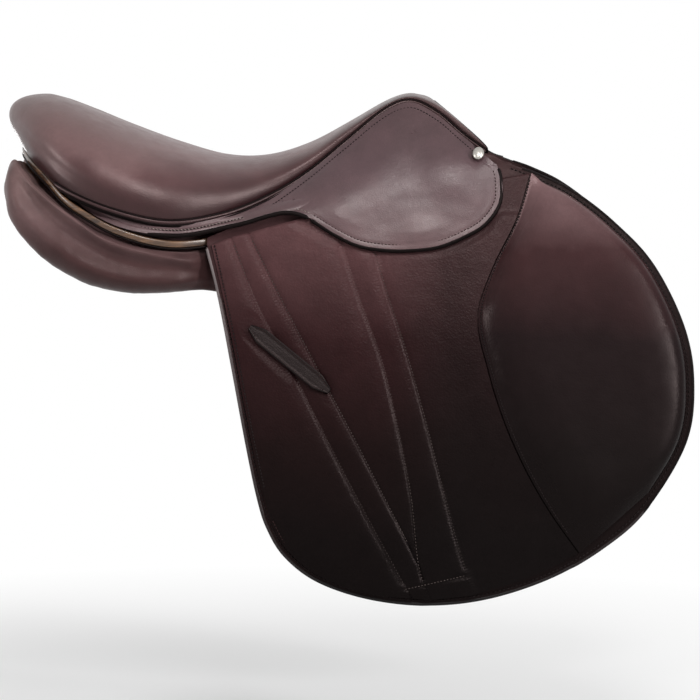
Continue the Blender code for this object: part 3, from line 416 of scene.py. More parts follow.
def edge_gaps(grid, joined=False):
    """How far each point of a grid is from the nearest of the grid's four sides, along its own row or column.
    The last row is no side when it is joined to itself."""
    down = np.concatenate([np.zeros((1, grid.shape[1])),
                           np.cumsum(np.linalg.norm(np.diff(grid, axis=0), axis=-1), axis=0)])
    along = np.concatenate([np.zeros((grid.shape[0], 1)),
                            np.cumsum(np.linalg.norm(np.diff(grid, axis=1), axis=-1), axis=1)], axis=1)
    across = np.minimum(along, along[:, -1:] - along)
    if joined:
        across[-1] = across[-2]
        return np.minimum(down, across)
    return np.minimum(np.minimum(down, down[-1:] - down), across)


def slab(name, upper, lower, materials, edge=1.0, plain=None, fields=None, joined=False):
    """The closed sheet between two grids of points. Its edges are rounded by edge, except those where plain
    says so of (x, z), and its walls have the second material. fields are numbers kept with the points. joined
    says that the two halves of the last row lie on each other."""
    upper, lower = np.asarray(upper, float), np.asarray(lower, float)
    rows, columns = upper.shape[:2]
    fields = {"edge_gap": edge_gaps(upper, joined), **(fields or {})}
    shape = bmesh.new()
    layers = {word: shape.verts.layers.float.new(word) for word in fields}
    tops = [[shape.verts.new(p * MM) for p in row] for row in upper]
    feet = [[shape.verts.new(p * MM) for p in row] for row in lower]
    for word, layer in layers.items():
        for i in range(rows):
            for j in range(columns):
                tops[i][j][layer] = feet[i][j][layer] = fields[word][i][j]
    for i in range(rows - 1):
        for j in range(columns - 1):
            shape.faces.new((tops[i][j], tops[i + 1][j], tops[i + 1][j + 1], tops[i][j + 1]))
            shape.faces.new((feet[i][j], feet[i][j + 1], feet[i + 1][j + 1], feet[i + 1][j]))
    loop = [(0, j) for j in range(columns)] + [(i, columns - 1) for i in range(1, rows)]
    loop += [(rows - 1, j) for j in range(columns - 2, -1, -1)] + [(i, 0) for i in range(rows - 2, 0, -1)]
    for (i, j), (k, m) in zip(loop, loop[1:] + loop[:1]):
        if joined and i == k == rows - 1:
            continue
        wall = shape.faces.new((tops[i][j], tops[k][m], feet[k][m], feet[i][j]))
        wall.material_index = 1 if len(materials) > 1 else 0
        wall.tag = True
    bmesh.ops.remove_doubles(shape, verts=shape.verts, dist=WELD)
    rims = []
    for e in shape.edges:
        if len(e.link_faces) == 2 and e.link_faces[0].tag != e.link_faces[1].tag:
            middle = (e.verts[0].co + e.verts[1].co) / 2 / MM
            if not (plain and plain(middle.x, middle.z)):
                rims.append(e)
    if edge > 0:
        bmesh.ops.bevel(shape, geom=rims, offset=edge * MM, offset_type="OFFSET", segments=2, profile=0.6,
                        affect="EDGES", clamp_overlap=True, material=-1)
    return from_bmesh(name, shape, materials)


def ring_mesh(name, rings, materials):
    """A closed skin over rings of points, with a fan at each end."""
    rings = np.asarray(rings, float)
    count, around = rings.shape[:2]
    points = list(rings.reshape(-1, 3))
    faces = []
    for low in range(0, (count - 1) * around, around):
        for k in range(around):
            m = (k + 1) % around
            faces.append((low + k, low + m, low + around + m, low + around + k))
    for i, turned in ((0, True), (count - 1, False)):
        points.append(rings[i].mean(0))
        for k in range(around):
            a, b = i * around + k, i * around + (k + 1) % around
            faces.append((b, a, len(points) - 1) if turned else (a, b, len(points) - 1))
    return mesh_object(name, points, faces, materials)


def tube(name, path, radius, material, sides=10, tip=0.6, tall=1.0):
    """A cord along path, which narrows over its last points. It is tall times as high as it is wide."""
    path = np.asarray(path, float)
    along = np.gradient(path, axis=0)
    along /= np.linalg.norm(along, axis=1, keepdims=True)
    up = np.array([0.0, 0.0, 1.0])
    first = np.cross(along, up)
    first /= np.linalg.norm(first, axis=1, keepdims=True)
    second = np.cross(along, first)
    turn = np.linspace(0, 2 * math.pi, sides + 1)[:-1]
    size = np.full(len(path), float(radius))
    size[[0, -1]] *= tip
    circle = (first[:, None] * np.cos(turn)[None, :, None]
              + second[:, None] * np.sin(turn)[None, :, None] * tall)
    return ring_mesh(name, path[:, None] + circle * size[:, None, None], [material])


STITCH_LIFT = 0.1
STITCH_SIDES = 6
# Along a stitch: how far from its middle, as a share of its length, then its width and its height, as shares
# of its thickness. Its ends have no width.
STITCH_END, STITCH_RINGS = (-0.5, -0.5), ((-0.36, 0.75, 0.1), (0.0, 1.0, 0.3), (0.36, 0.75, 0.1))


def unit_rows(rows):
    return rows / np.linalg.norm(rows, axis=1, keepdims=True)


def stitch_row(name, path, normals, material, pitch=3.4, long=2.5, thick=0.42):
    """A row of thread stitches along a path. Each one is a spindle whose two ends go into the leather."""
    path, normals = np.asarray(path, float), np.asarray(normals, float)
    run = run_of(path)
    at = np.arange(pitch / 2, run[-1], pitch)
    middles = at_run(at, run, path)
    ahead = unit_rows(at_run(at + 0.5, run, path) - at_run(at - 0.5, run, path))
    out = unit_rows(at_run(at, run, normals))
    beside = np.cross(ahead, out)
    end_at, end_high = STITCH_END
    turns = [2 * math.pi * k / STITCH_SIDES for k in range(STITCH_SIDES)]
    points, faces = [], []
    for p, t, n, b in zip(middles, ahead, out, beside):
        base = len(points)
        points.append(p + t * end_at * long + n * (STITCH_LIFT + end_high * thick))
        for share, wide, high in STITCH_RINGS:
            centre = p + t * share * long + n * (STITCH_LIFT + high * thick)
            points += [centre + (b * math.cos(a) + n * math.sin(a)) * thick * wide for a in turns]
        points.append(p - t * end_at * long + n * (STITCH_LIFT + end_high * thick))
        rings = [base + 1 + STITCH_SIDES * k for k in range(len(STITCH_RINGS))]
        for k in range(STITCH_SIDES):
            m = (k + 1) % STITCH_SIDES
            faces.append((base, rings[0] + m, rings[0] + k))
            faces.append((rings[-1] + k, rings[-1] + m, len(points) - 1))
            for low, high in zip(rings, rings[1:]):
                faces.append((low + k, low + m, high + m, high + k))
    return mesh_object(name, points, faces, [material])


def applied(obj):
    """The object with its modifiers made part of its mesh."""
    bpy.context.view_layer.update()
    shown = obj.evaluated_get(bpy.context.evaluated_depsgraph_get())
    mesh = bpy.data.meshes.new_from_object(shown)
    old = obj.data
    obj.modifiers.clear()
    obj.data = mesh
    bpy.data.meshes.remove(old)
    return obj


SMOOTH_TRIES, SMOOTH_PULL = 4, 0.8  # how often the rings are moved out, and by how much of what is missing


def smoothed(name, rings, material):
    """A closed skin over rings of points, subdivided so that the smooth surface still goes through them."""
    rings = np.asarray(rings, float)
    goal = rings.reshape(-1, 3)
    control = rings.copy()
    for tries in range(SMOOTH_TRIES):
        made = ring_mesh(name, control, [material])
        smooth = made.modifiers.new("smooth", "SUBSURF")
        smooth.levels = smooth.render_levels = 1
        applied(made)
        if tries < SMOOTH_TRIES - 1:
            missed = goal - vectors_of(made.data)[:len(goal)] / MM
            control += missed.reshape(control.shape) * SMOOTH_PULL
            bpy.data.objects.remove(made)
    return made


def cut_by(piece, cutter):
    """Takes the cutter's solid out of a piece, and removes the cutter."""
    boolean = piece.modifiers.new("cut", "BOOLEAN")
    boolean.operation = "DIFFERENCE"
    boolean.solver = "EXACT"
    boolean.object = cutter
    applied(piece)
    bpy.data.objects.remove(cutter)


def mirrored(obj, name):
    """A copy of obj on the other side of the middle plane."""
    mesh = obj.data.copy()
    mesh.name = name
    put_vertices(mesh, vectors_of(mesh) * np.array([1, -1, 1]))
    mesh.flip_normals()
    mesh.update()
    made = bpy.data.objects.new(name, mesh)
    bpy.context.scene.collection.objects.link(made)
    return made


def place(obj, body, slot, *nodes):
    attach(obj, body)
    if nodes:
        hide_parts(*nodes)
    return obj


def pair(obj, body, slot, *nodes):
    """Places obj, which is the left one, and a mirrored copy of it on the right. The names of a side's
    bodies and nodes end in the side's name."""
    base = obj.name
    other = mirrored(obj, base + "_right")
    obj.name = base + "_left"
    for one, word in ((obj, "left"), (other, "right")):
        own = body if body == ROOT else body + "_" + word
        place(one, own, slot, *(node + "_" + word for node in nodes))
    return obj, other


def side_seam(name, line, out, body, material, pitch=3.4, **looks):
    """Stitches along a line of (x, z) on the side, out from the flap's outer face."""
    line = even(line, 1.0)
    row = stitch_row(name, side_points(line, out), side_normals(line[:, 0], line[:, 1]), material, pitch,
                     **looks)
    return pair(row, body, "dark_leather")


# Materials

def shade(red, green, blue):
    """A colour as a photograph's numbers from 0 to 255 give it, by the usual curve of a screen."""
    return tuple(c / 255 / 12.92 if c <= 10 else ((c / 255 + 0.055) / 1.055)**2.4
                 for c in (red, green, blue))


class Surface:
    """A material's nodes, with short ways to add and join them."""

    def __init__(self, name, roughness=0.5, metallic=0.0, **constants):
        self.material = bpy.data.materials.new(name)
        self.material.use_nodes = True
        self.tree = self.material.node_tree
        self.shader = self.tree.nodes["Principled BSDF"]
        self.shader.inputs["Roughness"].default_value = roughness
        self.shader.inputs["Metallic"].default_value = metallic
        for socket, value in constants.items():
            self.shader.inputs[socket.replace("_", " ")].default_value = value
        self.place = self.add("ShaderNodeTexCoord").outputs["Object"]

    def add(self, kind, settings=None, **inputs):
        """A new node. An input is given by its name, or by the letter i and its number."""
        node = self.tree.nodes.new(kind)
        for word, value in (settings or {}).items():
            setattr(node, word, value)
        for word, value in inputs.items():
            numbered = word[0] == "i" and word[1:].isdigit()
            socket = node.inputs[int(word[1:]) if numbered else word]
            if isinstance(value, bpy.types.NodeSocket):
                self.tree.links.new(value, socket)
            else:
                socket.default_value = value
        return node

    def noise(self, size, detail=2.0, rough=0.5, stretch=(1, 1, 1)):
        """Noise whose features are size millimetres wide."""
        spot = self.place
        if stretch != (1, 1, 1):
            spot = self.add("ShaderNodeMapping", Vector=spot, Scale=stretch).outputs[0]
        return self.add("ShaderNodeTexNoise", Vector=spot, Scale=1000 / size, Detail=detail,
                        Roughness=rough).outputs["Fac"]

    def cells(self, size):
        """Small cells, size millimetres wide, as pebbled leather and foam have them."""
        return self.add("ShaderNodeTexVoronoi", Vector=self.place, Scale=1000 / size).outputs["Distance"]

    def field(self, name):
        """The number that a mesh keeps with its points under this name."""
        return self.add("ShaderNodeAttribute", {"attribute_name": name}).outputs["Fac"]

    def spread(self, value, low, high, to_low=0.0, to_high=1.0):
        """value stretched from low..high to to_low..to_high, and held there."""
        node = self.add("ShaderNodeMapRange", {"clamp": True}, Value=value)
        for socket, number in zip(("From Min", "From Max", "To Min", "To Max"), (low, high, to_low, to_high)):
            node.inputs[socket].default_value = number
        return node.outputs["Result"]

    def math(self, kind, a, b=0.0):
        return self.add("ShaderNodeMath", {"operation": kind}, i0=a, i1=b).outputs[0]

    def mix(self, share, a, b, kind="MIX"):
        node = self.tree.nodes.new("ShaderNodeMix")
        node.data_type = "RGBA"
        node.blend_type = kind
        for number, value in ((0, share), (6, a), (7, b)):
            if isinstance(value, bpy.types.NodeSocket):
                self.tree.links.new(value, node.inputs[number])
            else:
                node.inputs[number].default_value = value if number == 0 else (*value, 1)
        return node.outputs[2]

    def axis(self, word):
        return self.add("ShaderNodeSeparateXYZ", Vector=self.place).outputs[word]

    def bump(self, *layers):
        """Bumps from (height, depth in millimetres) layers."""
        normal = None
        for height, depth in layers:
            node = self.add("ShaderNodeBump", Height=height, Distance=depth * MM)
            node.inputs["Strength"].default_value = 1.0
            if normal:
                self.tree.links.new(normal, node.inputs["Normal"])
            normal = node.outputs["Normal"]
        self.tree.links.new(normal, self.shader.inputs["Normal"])

    def set(self, socket, value):
        self.tree.links.new(value, self.shader.inputs[socket])


# The leather's colour by height paints the light and shade that fall on it, and its bands wander up and down
WANDER = 14.0  # how far up and down the leather's shading wanders
PUCKER_REACH, PUCKER_DEEP = 11.0, 0.06  # how far from a seam the leather puckers, and how deep


def leather(name, stops, roughness=0.42, grain=0.07, pebble=1.1, mottle=0.16, specular=0.16,
            tint=(1.0, 0.8, 0.78), creases=0.0, seam=False, rim=None, front=None, dull=None):
    """Grained leather. stops are (height in millimetres, colour), from low to high, and colours are given by
    their numbers from 0 to 255: this colour by height paints the light and shade that fall on the piece.
    grain is how deep its grain is, pebble how wide, and mottle how much lighter or darker its patches are.
    tint colours its gloss, and creases is the depth of its fine level wrinkles. With seam it puckers along
    its seams. rim is (reach, colour, share), painted shade along its edges, and front is (rear x, front x,
    colour, share), painted shade over its front part. dull is (near, far, more): from near to far off its
    edges the surface is rougher by more."""
    surface = Surface(name, roughness, Specular_IOR_Level=specular, Specular_Tint=(*tint, 1.0))
    wander = surface.spread(surface.noise(70, 3), 0.2, 0.8, -WANDER * MM, WANDER * MM)
    # Colour by height, which paints the light and shade that fall on the piece
    node = surface.add("ShaderNodeValToRGB")
    low, high = stops[0][0], stops[-1][0]
    height = surface.math("ADD", surface.axis("Z"), wander)
    surface.tree.links.new(surface.spread(height, low * MM, high * MM), node.inputs["Fac"])
    marks = node.color_ramp.elements
    for z, _ in stops[1:-1]:
        marks.new((z - low) / (high - low))
    for mark, (_, colour) in zip(marks, stops):
        mark.color = (*shade(*colour), 1)
    colour = node.outputs["Color"]
    # front: painted shade that darkens the front part
    if front:
        x_rear, x_front, dark, most = front
        ahead = surface.math("ADD", surface.axis("X"), wander)
        share = surface.spread(ahead, x_rear * MM, x_front * MM, 0.0, most)
        colour = surface.mix(share, colour, shade(*dark))
    # rim: painted shade along the edges, with a ragged border
    if rim:
        reach, dark, most = rim
        ragged = surface.spread(surface.noise(30, 3), 0.2, 0.8, -reach / 4, reach / 4)
        uneven = surface.math("ADD", surface.field("edge_gap"), ragged)
        colour = surface.mix(surface.spread(uneven, 0.0, reach, most, 0.0), colour, shade(*dark))
    patches = surface.spread(surface.noise(26, 4, 0.6), 0.25, 0.75, 1 - mottle, 1 + mottle)
    fine = surface.spread(surface.noise(3.2, 3, 0.6), 0.2, 0.8, 0.93, 1.07)
    level = surface.math("MULTIPLY", patches, fine)
    grey = surface.add("ShaderNodeCombineColor", Red=level, Green=level, Blue=level).outputs[0]
    surface.set("Base Color", surface.mix(1.0, colour, grey, "MULTIPLY"))
    rough = surface.spread(surface.noise(14, 4, 0.6), 0.2, 0.8, roughness - 0.07, roughness + 0.09)
    if dull:
        near, far, more = dull
        rough = surface.math("ADD", rough, surface.spread(surface.field("edge_gap"), near, far, 0.0, more))
    surface.set("Roughness", rough)
    layers = [(surface.noise(16, 3), grain * 4), (surface.cells(pebble), grain),
              (surface.noise(pebble * 0.45, 2), grain * 0.5)]
    if creases:
        layers.append((surface.noise(3.4, 3, 0.6, stretch=(0.3, 1, 1)), creases))
    if seam:
        wobble = surface.math("MULTIPLY", surface.noise(5, 2), 9.0)
        along = surface.math("MULTIPLY", surface.field("seam_run"), 2.35)
        ripple = surface.math("SINE", surface.math("ADD", along, wobble))
        near = surface.spread(surface.field("seam_gap"), 0.4, PUCKER_REACH, 1.0, 0.0)
        near = surface.math("POWER", near, 1.6)
        layers.append((surface.math("MULTIPLY", ripple, near), PUCKER_DEEP))
    surface.bump(*layers)
    return surface.material


def rim_leather(name):
    """Rubbed brown leather with light and dark streaks along it."""
    surface = Surface(name, 0.26, Specular_IOR_Level=0.55)
    streaks = surface.noise(3.0, 4, 0.6, stretch=(0.12, 0.12, 1))
    colour = surface.mix(surface.spread(streaks, 0.35, 0.65), shade(48, 33, 25), shade(108, 78, 54))
    surface.set("Base Color", surface.mix(surface.spread(surface.noise(18, 3), 0.4, 0.7, 0.0, 0.6), colour,
                                          shade(44, 32, 28)))
    surface.bump((streaks, 0.15), (surface.noise(0.9, 2), 0.05))
    return surface.material


def thread(name, colour):
    surface = Surface(name, 0.7, Specular_IOR_Level=0.1)
    level = surface.spread(surface.noise(1.2, 2), 0.3, 0.7)
    surface.set("Base Color", surface.mix(level, tuple(c * 0.6 for c in colour), colour))
    surface.bump((surface.noise(0.25, 1, stretch=(1, 1, 3)), 0.05))
    return surface.material


def steel(name, colour, roughness, brushed=True):
    surface = Surface(name, roughness, 1.0)
    streaks = surface.noise(1.4, 3, 0.6, stretch=(0.06, 1, 1) if brushed else (1, 1, 1))
    level = surface.spread(streaks, 0.3, 0.7)
    surface.set("Base Color", surface.mix(level, tuple(c * 0.75 for c in colour), colour))
    surface.set("Roughness", surface.spread(surface.noise(9, 4, 0.6), 0.25, 0.75, roughness - 0.08,
                                            roughness + 0.1))
    surface.bump((streaks, 0.02), (surface.noise(0.6, 2), 0.01))
    return surface.material


def wood(name):
    surface = Surface(name, 0.55)
    rings = surface.noise(5.5, 4, 0.6, stretch=(0.09, 1, 1))
    fine = surface.noise(0.9, 3, 0.7, stretch=(0.05, 1, 1))
    colour = surface.mix(surface.spread(rings, 0.35, 0.65), shade(150, 106, 62), shade(196, 152, 100))
    colour = surface.mix(surface.spread(fine, 0.5, 0.75, 0.0, 0.45), colour, shade(104, 68, 38))
    surface.set("Base Color", colour)
    surface.bump((fine, 0.05), (rings, 0.05))
    return surface.material


def foam(name):
    surface = Surface(name, 0.95, Sheen_Weight=0.2)
    pores = surface.cells(1.6)
    # Darker in its pits: painted shade.
    level = surface.spread(pores, 0.0, 0.6)
    surface.set("Base Color", surface.mix(level, shade(176, 160, 118), shade(226, 214, 178)))
    surface.bump((pores, 0.4), (surface.noise(6, 4), 0.5))
    return surface.material


def webbing(name):
    """Woven cotton tape: two crossed sets of ribs."""
    surface = Surface(name, 0.85, Sheen_Weight=0.4)
    ribs = [surface.add("ShaderNodeTexWave", {"bands_direction": word}, Vector=surface.place, Scale=260,
                        Distortion=0.6, Detail=2.0).outputs["Fac"] for word in ("X", "Z")]
    weave = surface.math("MAXIMUM", *ribs)
    soil = surface.spread(surface.noise(20, 4, 0.6), 0.3, 0.7)
    colour = surface.mix(soil, shade(170, 158, 130), shade(206, 196, 170))
    # Darker between the ribs: painted shade.
    surface.set("Base Color", surface.mix(surface.spread(weave, 0.2, 0.9), shade(120, 108, 84), colour))
    surface.bump((weave, 0.35), (surface.noise(0.8, 3), 0.12))
    return surface.material


# The frame, and the materials of its pieces

ROOT = "tree_and_seat"
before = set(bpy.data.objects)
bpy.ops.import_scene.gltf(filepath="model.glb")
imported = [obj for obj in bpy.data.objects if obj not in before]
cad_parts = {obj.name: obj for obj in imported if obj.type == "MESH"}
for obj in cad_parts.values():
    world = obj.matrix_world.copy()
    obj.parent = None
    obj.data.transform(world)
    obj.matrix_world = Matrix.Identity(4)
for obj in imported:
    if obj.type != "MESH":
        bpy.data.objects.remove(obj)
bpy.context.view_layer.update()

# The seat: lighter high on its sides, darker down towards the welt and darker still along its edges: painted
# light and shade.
SEAT = leather("seat_grain", ((60, (46, 24, 26)), (92, (48, 26, 28)), (114, (72, 48, 49)),
                              (132, (96, 73, 73)), (190, (90, 72, 71))),
               0.36, mottle=0.1, specular=0.4, rim=(36, (34, 15, 17), 0.85))
# The skirt: lighter towards its lower edge, a painted sheen.
SKIRT = leather("skirt_grain", ((40, (86, 68, 69)), (75, (78, 60, 62)), (110, (72, 55, 58)),
                                (180, (66, 49, 51))), 0.32, specular=0.28, tint=(1, 0.92, 0.9))
# The quilting: near black towards the bottom and darker over its front part, towards the knee pad: painted
# shade.
QUILTED = leather("quilted_grain", ((-280, (7, 5, 5)), (-215, (9, 6, 6)), (-130, (19, 10, 10)),
                                    (-40, (36, 19, 20)), (60, (74, 50, 51))),
                  0.3, grain=0.12, pebble=2.0, seam=True, specular=0.055, creases=0.1,
                  front=(105, 170, (10, 8, 8), 0.6))
# The knee pad: near black at the bottom and light at the top, painted shade and a painted highlight.
KNEE = leather("knee_grain", ((-240, (7, 5, 5)), (-140, (9, 6, 6)), (-40, (18, 10, 11)),
                              (40, (48, 29, 30)), (120, (108, 84, 85))),
               0.24, grain=0.06, pebble=1.6, mottle=0.12, specular=0.085, creases=0.1, dull=(16, 36, 0.4))
# The flap: darker towards the bottom and near black over its front part: painted shade, which also makes the
# strip along its front edge near black.
FLAP = leather("flap_grain", ((-280, (14, 9, 9)), (-120, (30, 17, 17)), (60, (58, 38, 39)),
                              (130, (60, 44, 44))),
               0.36, grain=0.1, pebble=1.6, specular=0.06, front=(215, 262, (14, 9, 9), 0.9))
# The panel: darker towards its foot, painted shade.
PANEL = leather("panel_grain", ((-30, (40, 24, 24)), (30, (60, 41, 41)), (60, (86, 66, 66)),
                                (100, (96, 76, 75))), 0.36, mottle=0.2, specular=0.13)
STRAP = leather("strap_grain", ((-280, (13, 9, 9)), (60, (19, 14, 14))),
                0.36, grain=0.12, mottle=0.15)
LINING = leather("lining_grain", ((-240, (46, 34, 32)), (120, (64, 48, 46))), 0.55, grain=0.05)
EDGE = leather("edge_paint", ((-280, (9, 7, 7)), (160, (13, 9, 9))), 0.4, grain=0.03, specular=0.05)
# Grey edge paint: its light grey is partly a painted reflection of the white around it, and it turns near
# black towards the bottom, painted shade.
GREY_EDGE_REFLECTION = leather("grey_edge_reflection", ((-280, (14, 11, 11)), (-120, (50, 42, 42)),
                                  (60, (112, 102, 102)), (160, (104, 84, 84))),
                    0.4, grain=0.03, tint=(1, 1, 1))
# Near black, for the seat cover's edges, the skirt's ledge and the cords, which paint the shade in the
# creases along the seat's sewn edge and under the cantle's roll.
PIPING_SHADE = leather("piping_shade_grain", ((60, (12, 8, 8)), (180, (18, 11, 12))),
                 0.36, grain=0.04, specular=0.06)
TAN = rim_leather("rim_grain")
DARK_THREAD = thread("dark_thread", shade(46, 28, 27))
BLACK_THREAD = thread("black_thread", shade(26, 19, 19))
QUILT_THREAD = thread("quilt_thread", shade(78, 68, 65))
GREY_THREAD = thread("grey_thread", shade(130, 118, 112))
SILVER = steel("stud_finish", shade(178, 174, 168), 0.34, brushed=False)


# Seat

# The crease along the rear of the seat's side: how far out it lies at each rib, from 0 at the spine to 1 at
# the welt, then the ribs where it starts and ends, with how many ribs it takes to fade there. Below it the
# leather stands out as a lip. Widths are shares of the way from the spine to the welt.
CREASE = ((9.0, 0.98), (10.0, 0.93), (11.0, 0.87), (12.0, 0.80), (13.0, 0.74), (14.0, 0.70))
CREASE_START, CREASE_END = (9.0, 1.2), (13.6, 1.6)
CREASE_DEEP, CREASE_WIDE = 1.1, 0.045
LIP_HIGH, LIP_WIDE, LIP_BELOW = 0.8, 0.07, 0.1


def make_seat_cover():
    upper, lower = [], []
    for u in steps(140, 0, LAST_RIB):
        middle = height_at(CREASE, u)
        strength = (share_of(u - CREASE_START[0], CREASE_START[1])
                    * share_of(CREASE_END[0] - u, CREASE_END[1]))
        upper.append([])
        lower.append([])
        for v in steps(60):
            valley = (CREASE_DEEP * math.exp(-((v - middle) / CREASE_WIDE)**2)
                      - LIP_HIGH * math.exp(-((v - middle - LIP_BELOW) / LIP_WIDE)**2))
            upper[-1].append(seat_point(u, v, strength * valley))
            lower[-1].append(seat_point(u, v, COVER_THICK))
    grids = []
    for half in (np.array(upper), np.array(lower)):
        other = half[:, :0:-1] * np.array([1, -1, 1])
        grids.append(np.concatenate([other, half], axis=1))
    cover = slab("seat_cover_leather", *grids, [SEAT, PIPING_SHADE], edge=1.2, joined=True)
    place(cover, ROOT, "seat_leather", "seat_cover")


PIPING_END = 11.3  # the rib where the sewn edge ends
PIPING_OUT = 0.4
# Each row of it: its name, how far it lies below the welt line, its radius, how much higher than wide it is
PIPING_ROWS = (("piping_upper_shade", 0.9, 0.95, 1.0, PIPING_SHADE), ("piping_band", 3.0, 1.3, 1.3, SEAT),
               ("piping_lower_shade", 5.1, 0.95, 1.0, PIPING_SHADE))


def make_piping():
    """The sewn edge of the seat: a narrow band between two thin near-black cords, which paint the shade in
    the creases on both sides of it.
    """
    path = [seat_point(u, 1) for u in steps(150, 0.0, PIPING_END)]
    for name, down, radius, tall, material in PIPING_ROWS:
        nodes = ("welt",) if name == "piping_upper_shade" else ()
        points = []
        for i, p in enumerate(path):
            along = (path[min(i + 1, len(path) - 1)] - path[max(i - 1, 0)]).normalized()
            lower = (Vector((0, 0, -1)) + along * along.z).normalized()
            points.append(p + lower * down + Vector((0, PIPING_OUT, 0)))
        pair(tube(name, points, radius, material, tall=tall), ROOT, "dark_leather", *nodes)


POMMEL_DEPTHS = (0.5, 22.5), (0.5, 17.0), (0.0, 28.0)  # at the spine, at the welt, and how far the welt drops
POMMEL_SWELL, POMMEL_THICK = 1.7, 1.2
POMMEL_SEAMS = (("upper", 0.12), ("lower", 0.88))


def pommel_row(share, ahead):
    """Points across the front of the pommel, from its rim at share 0 down to the arch at 1."""
    spine, edge, drop = (blend(*pair_of, share) for pair_of in POMMEL_DEPTHS)
    half = [seat_point(0, v, spine, edge, drop) + Vector((ahead, 0, 0)) for v in steps(40)]
    return [Vector((p.x, -p.y, p.z)) for p in half[:0:-1]] + half


def pommel_out(share):
    """How far the padded front of the pommel's facing stands out."""
    return GAP + POMMEL_THICK + POMMEL_SWELL * (1 - abs(2 * share - 1)**4)


def make_pommel_facing():
    """The leather that closes the front of the pommel, sewn along its rim and along the arch."""
    front = [pommel_row(share, pommel_out(share)) for share in steps(16)]
    back = [pommel_row(share, GAP) for share in steps(16)]
    piece = slab("pommel_facing_leather", front, back, [SKIRT, EDGE], edge=0.5)
    place(piece, ROOT, "skirt_leather", "pommel_facing")
    for word, share in POMMEL_SEAMS:
        row = np.array(pommel_row(share, pommel_out(share)))
        ahead = np.tile((1.0, 0.0, 0.0), (len(row), 1))
        place(stitch_row("pommel_seam_" + word, row, ahead, BLACK_THREAD, 3.3), ROOT, "dark_leather")


RIM_START = 8  # the rib where the roll starts
RIM_SQUARE = 0.7  # the power that squares its section: 1 is an oval
RIM_WIDER, RIM_LOWER = 0.2, 0.1  # than the solid's
# The near-black cord along the roll's lower edge paints the shade under the roll: its radius, how far in and
# how far below it lies
RIM_SHADE_CORD, CORD_IN, CORD_BELOW = 1.1, 0.7, 0.9


def make_rim():
    """The tan roll round the cantle, with a dark cord along its lower edge that paints the shade under it."""
    path, lower = [], []
    turns = [2 * math.pi * k / 20 for k in range(20)]
    ribs = steps(90, RIM_START, LAST_RIB)
    for u, side in [(u, 1) for u in ribs] + [(u, -1) for u in reversed(ribs[:-1])]:
        spine_x, _, welt_x, welt_y, top, *_ = through(ROUND_RIBS, u)
        top -= float(height_at(RIM_DROP, u))
        run = Vector((welt_x - spine_x, welt_y, 0)).normalized()
        middle = Vector((welt_x, welt_y, top - RIM_TALL / 2))
        middle += run * float(height_at(RIM_SPREAD, u) - RIM_THICK / 2)
        section = []
        for a in turns:
            c, s = math.cos(a), math.sin(a)
            wide = math.copysign(abs(c)**RIM_SQUARE, c) * (RIM_THICK / 2 + RIM_WIDER)
            tall = math.copysign(abs(s)**RIM_SQUARE, s) * (RIM_TALL / 2 - RIM_LOWER)
            section.append(middle + run * wide + Vector((0, 0, tall)))
        path.append([Vector((p.x, p.y * side, p.z)) for p in section])
        foot = middle + run * (RIM_THICK / 2 - CORD_IN) - Vector((0, 0, RIM_TALL / 2 + CORD_BELOW))
        lower.append(Vector((foot.x, foot.y * side, foot.z)))
    place(ring_mesh("cantle_rim_roll", path, [TAN]), ROOT, "rim_leather", "cantle_rim")
    place(tube("cantle_rim_shade_cord", lower, RIM_SHADE_CORD, PIPING_SHADE), ROOT, "dark_leather")


# Skirt

SKIRT_SEAM = 5.0  # how far inside the skirt's edges their seams lie
SKIRT_BEND = 13.0  # over how much height the skirt bends at its fold
SKIRT_CORNER = 8.0  # how round the front corner of the skirt's head is
# Where the skirt stands out over what lies under it: x, z, how wide and how far
SKIRT_SWELLS = ((142, 46, 17, 3.4), (168, 112, 16, 2.2), (66, 66, 17, 1.8), (120, 150, 18, 1.2),
                (190, 86, 14, 1.0))
SKIRT_GROOVE, GROOVE_WIDE = 0.35, 1.1  # how deep its seams lie, and how wide their grooves are
HIP_X, HIP_WIDE, HIP_WRINKLE = -150, 26, 0.35  # where the skirt wrinkles, and how high the wrinkles are
TILT_X, TILT_LONG = -90, 50  # behind this x the skirt's narrow end stands out, more and more over this length
HIP_TILT = 3.6  # how far it then stands out along its foot


def skirt_top(x):
    """How high the skirt's upper edge is: under the piping, and past the stud down to the front."""
    slope = (height_at(WELT_HEIGHT, x + 4) - height_at(WELT_HEIGHT, x - 4)) / 8
    under_welt = height_at(WELT_HEIGHT, x) - (2 * WELT_RADIUS + 4 * WELT_REACH) * np.hypot(1, slope)
    past = np.maximum(x - STUD_X - PAST_STUD, 0)
    return np.minimum(under_welt, np.where(past > 0, STUD_Z - past * PAST_STUD_SLOPE, 1e3))


def skirt_outline():
    """The skirt's lower and front edge as one run of (x, z), from its rear end."""
    loose = SKIRT_EDGE[1:-2]
    return even(SKIRT_LOW[:-1] + ((36, 71),) + loose + ((217, 106), (SKIRT_FRONT_X + 2, 118)), 2.0)


OUTLINE = skirt_outline()
UPPER_EDGE = np.array([(x, float(skirt_top(x))) for x in steps(200, SKIRT_REAR_X, SKIRT_FRONT_X)])


def skirt_rounding(x, z):
    """How much the skirt's face differs from the side that it lies on: it bends less sharply at the fold."""
    reach = np.arange(-4, 5) * SKIRT_BEND / 2
    weights = np.exp(-(reach / SKIRT_BEND)**2 / 2)
    mean = sum(w * side_y(x, z + d) for w, d in zip(weights, reach)) / weights.sum()
    return mean - side_y(x, z)


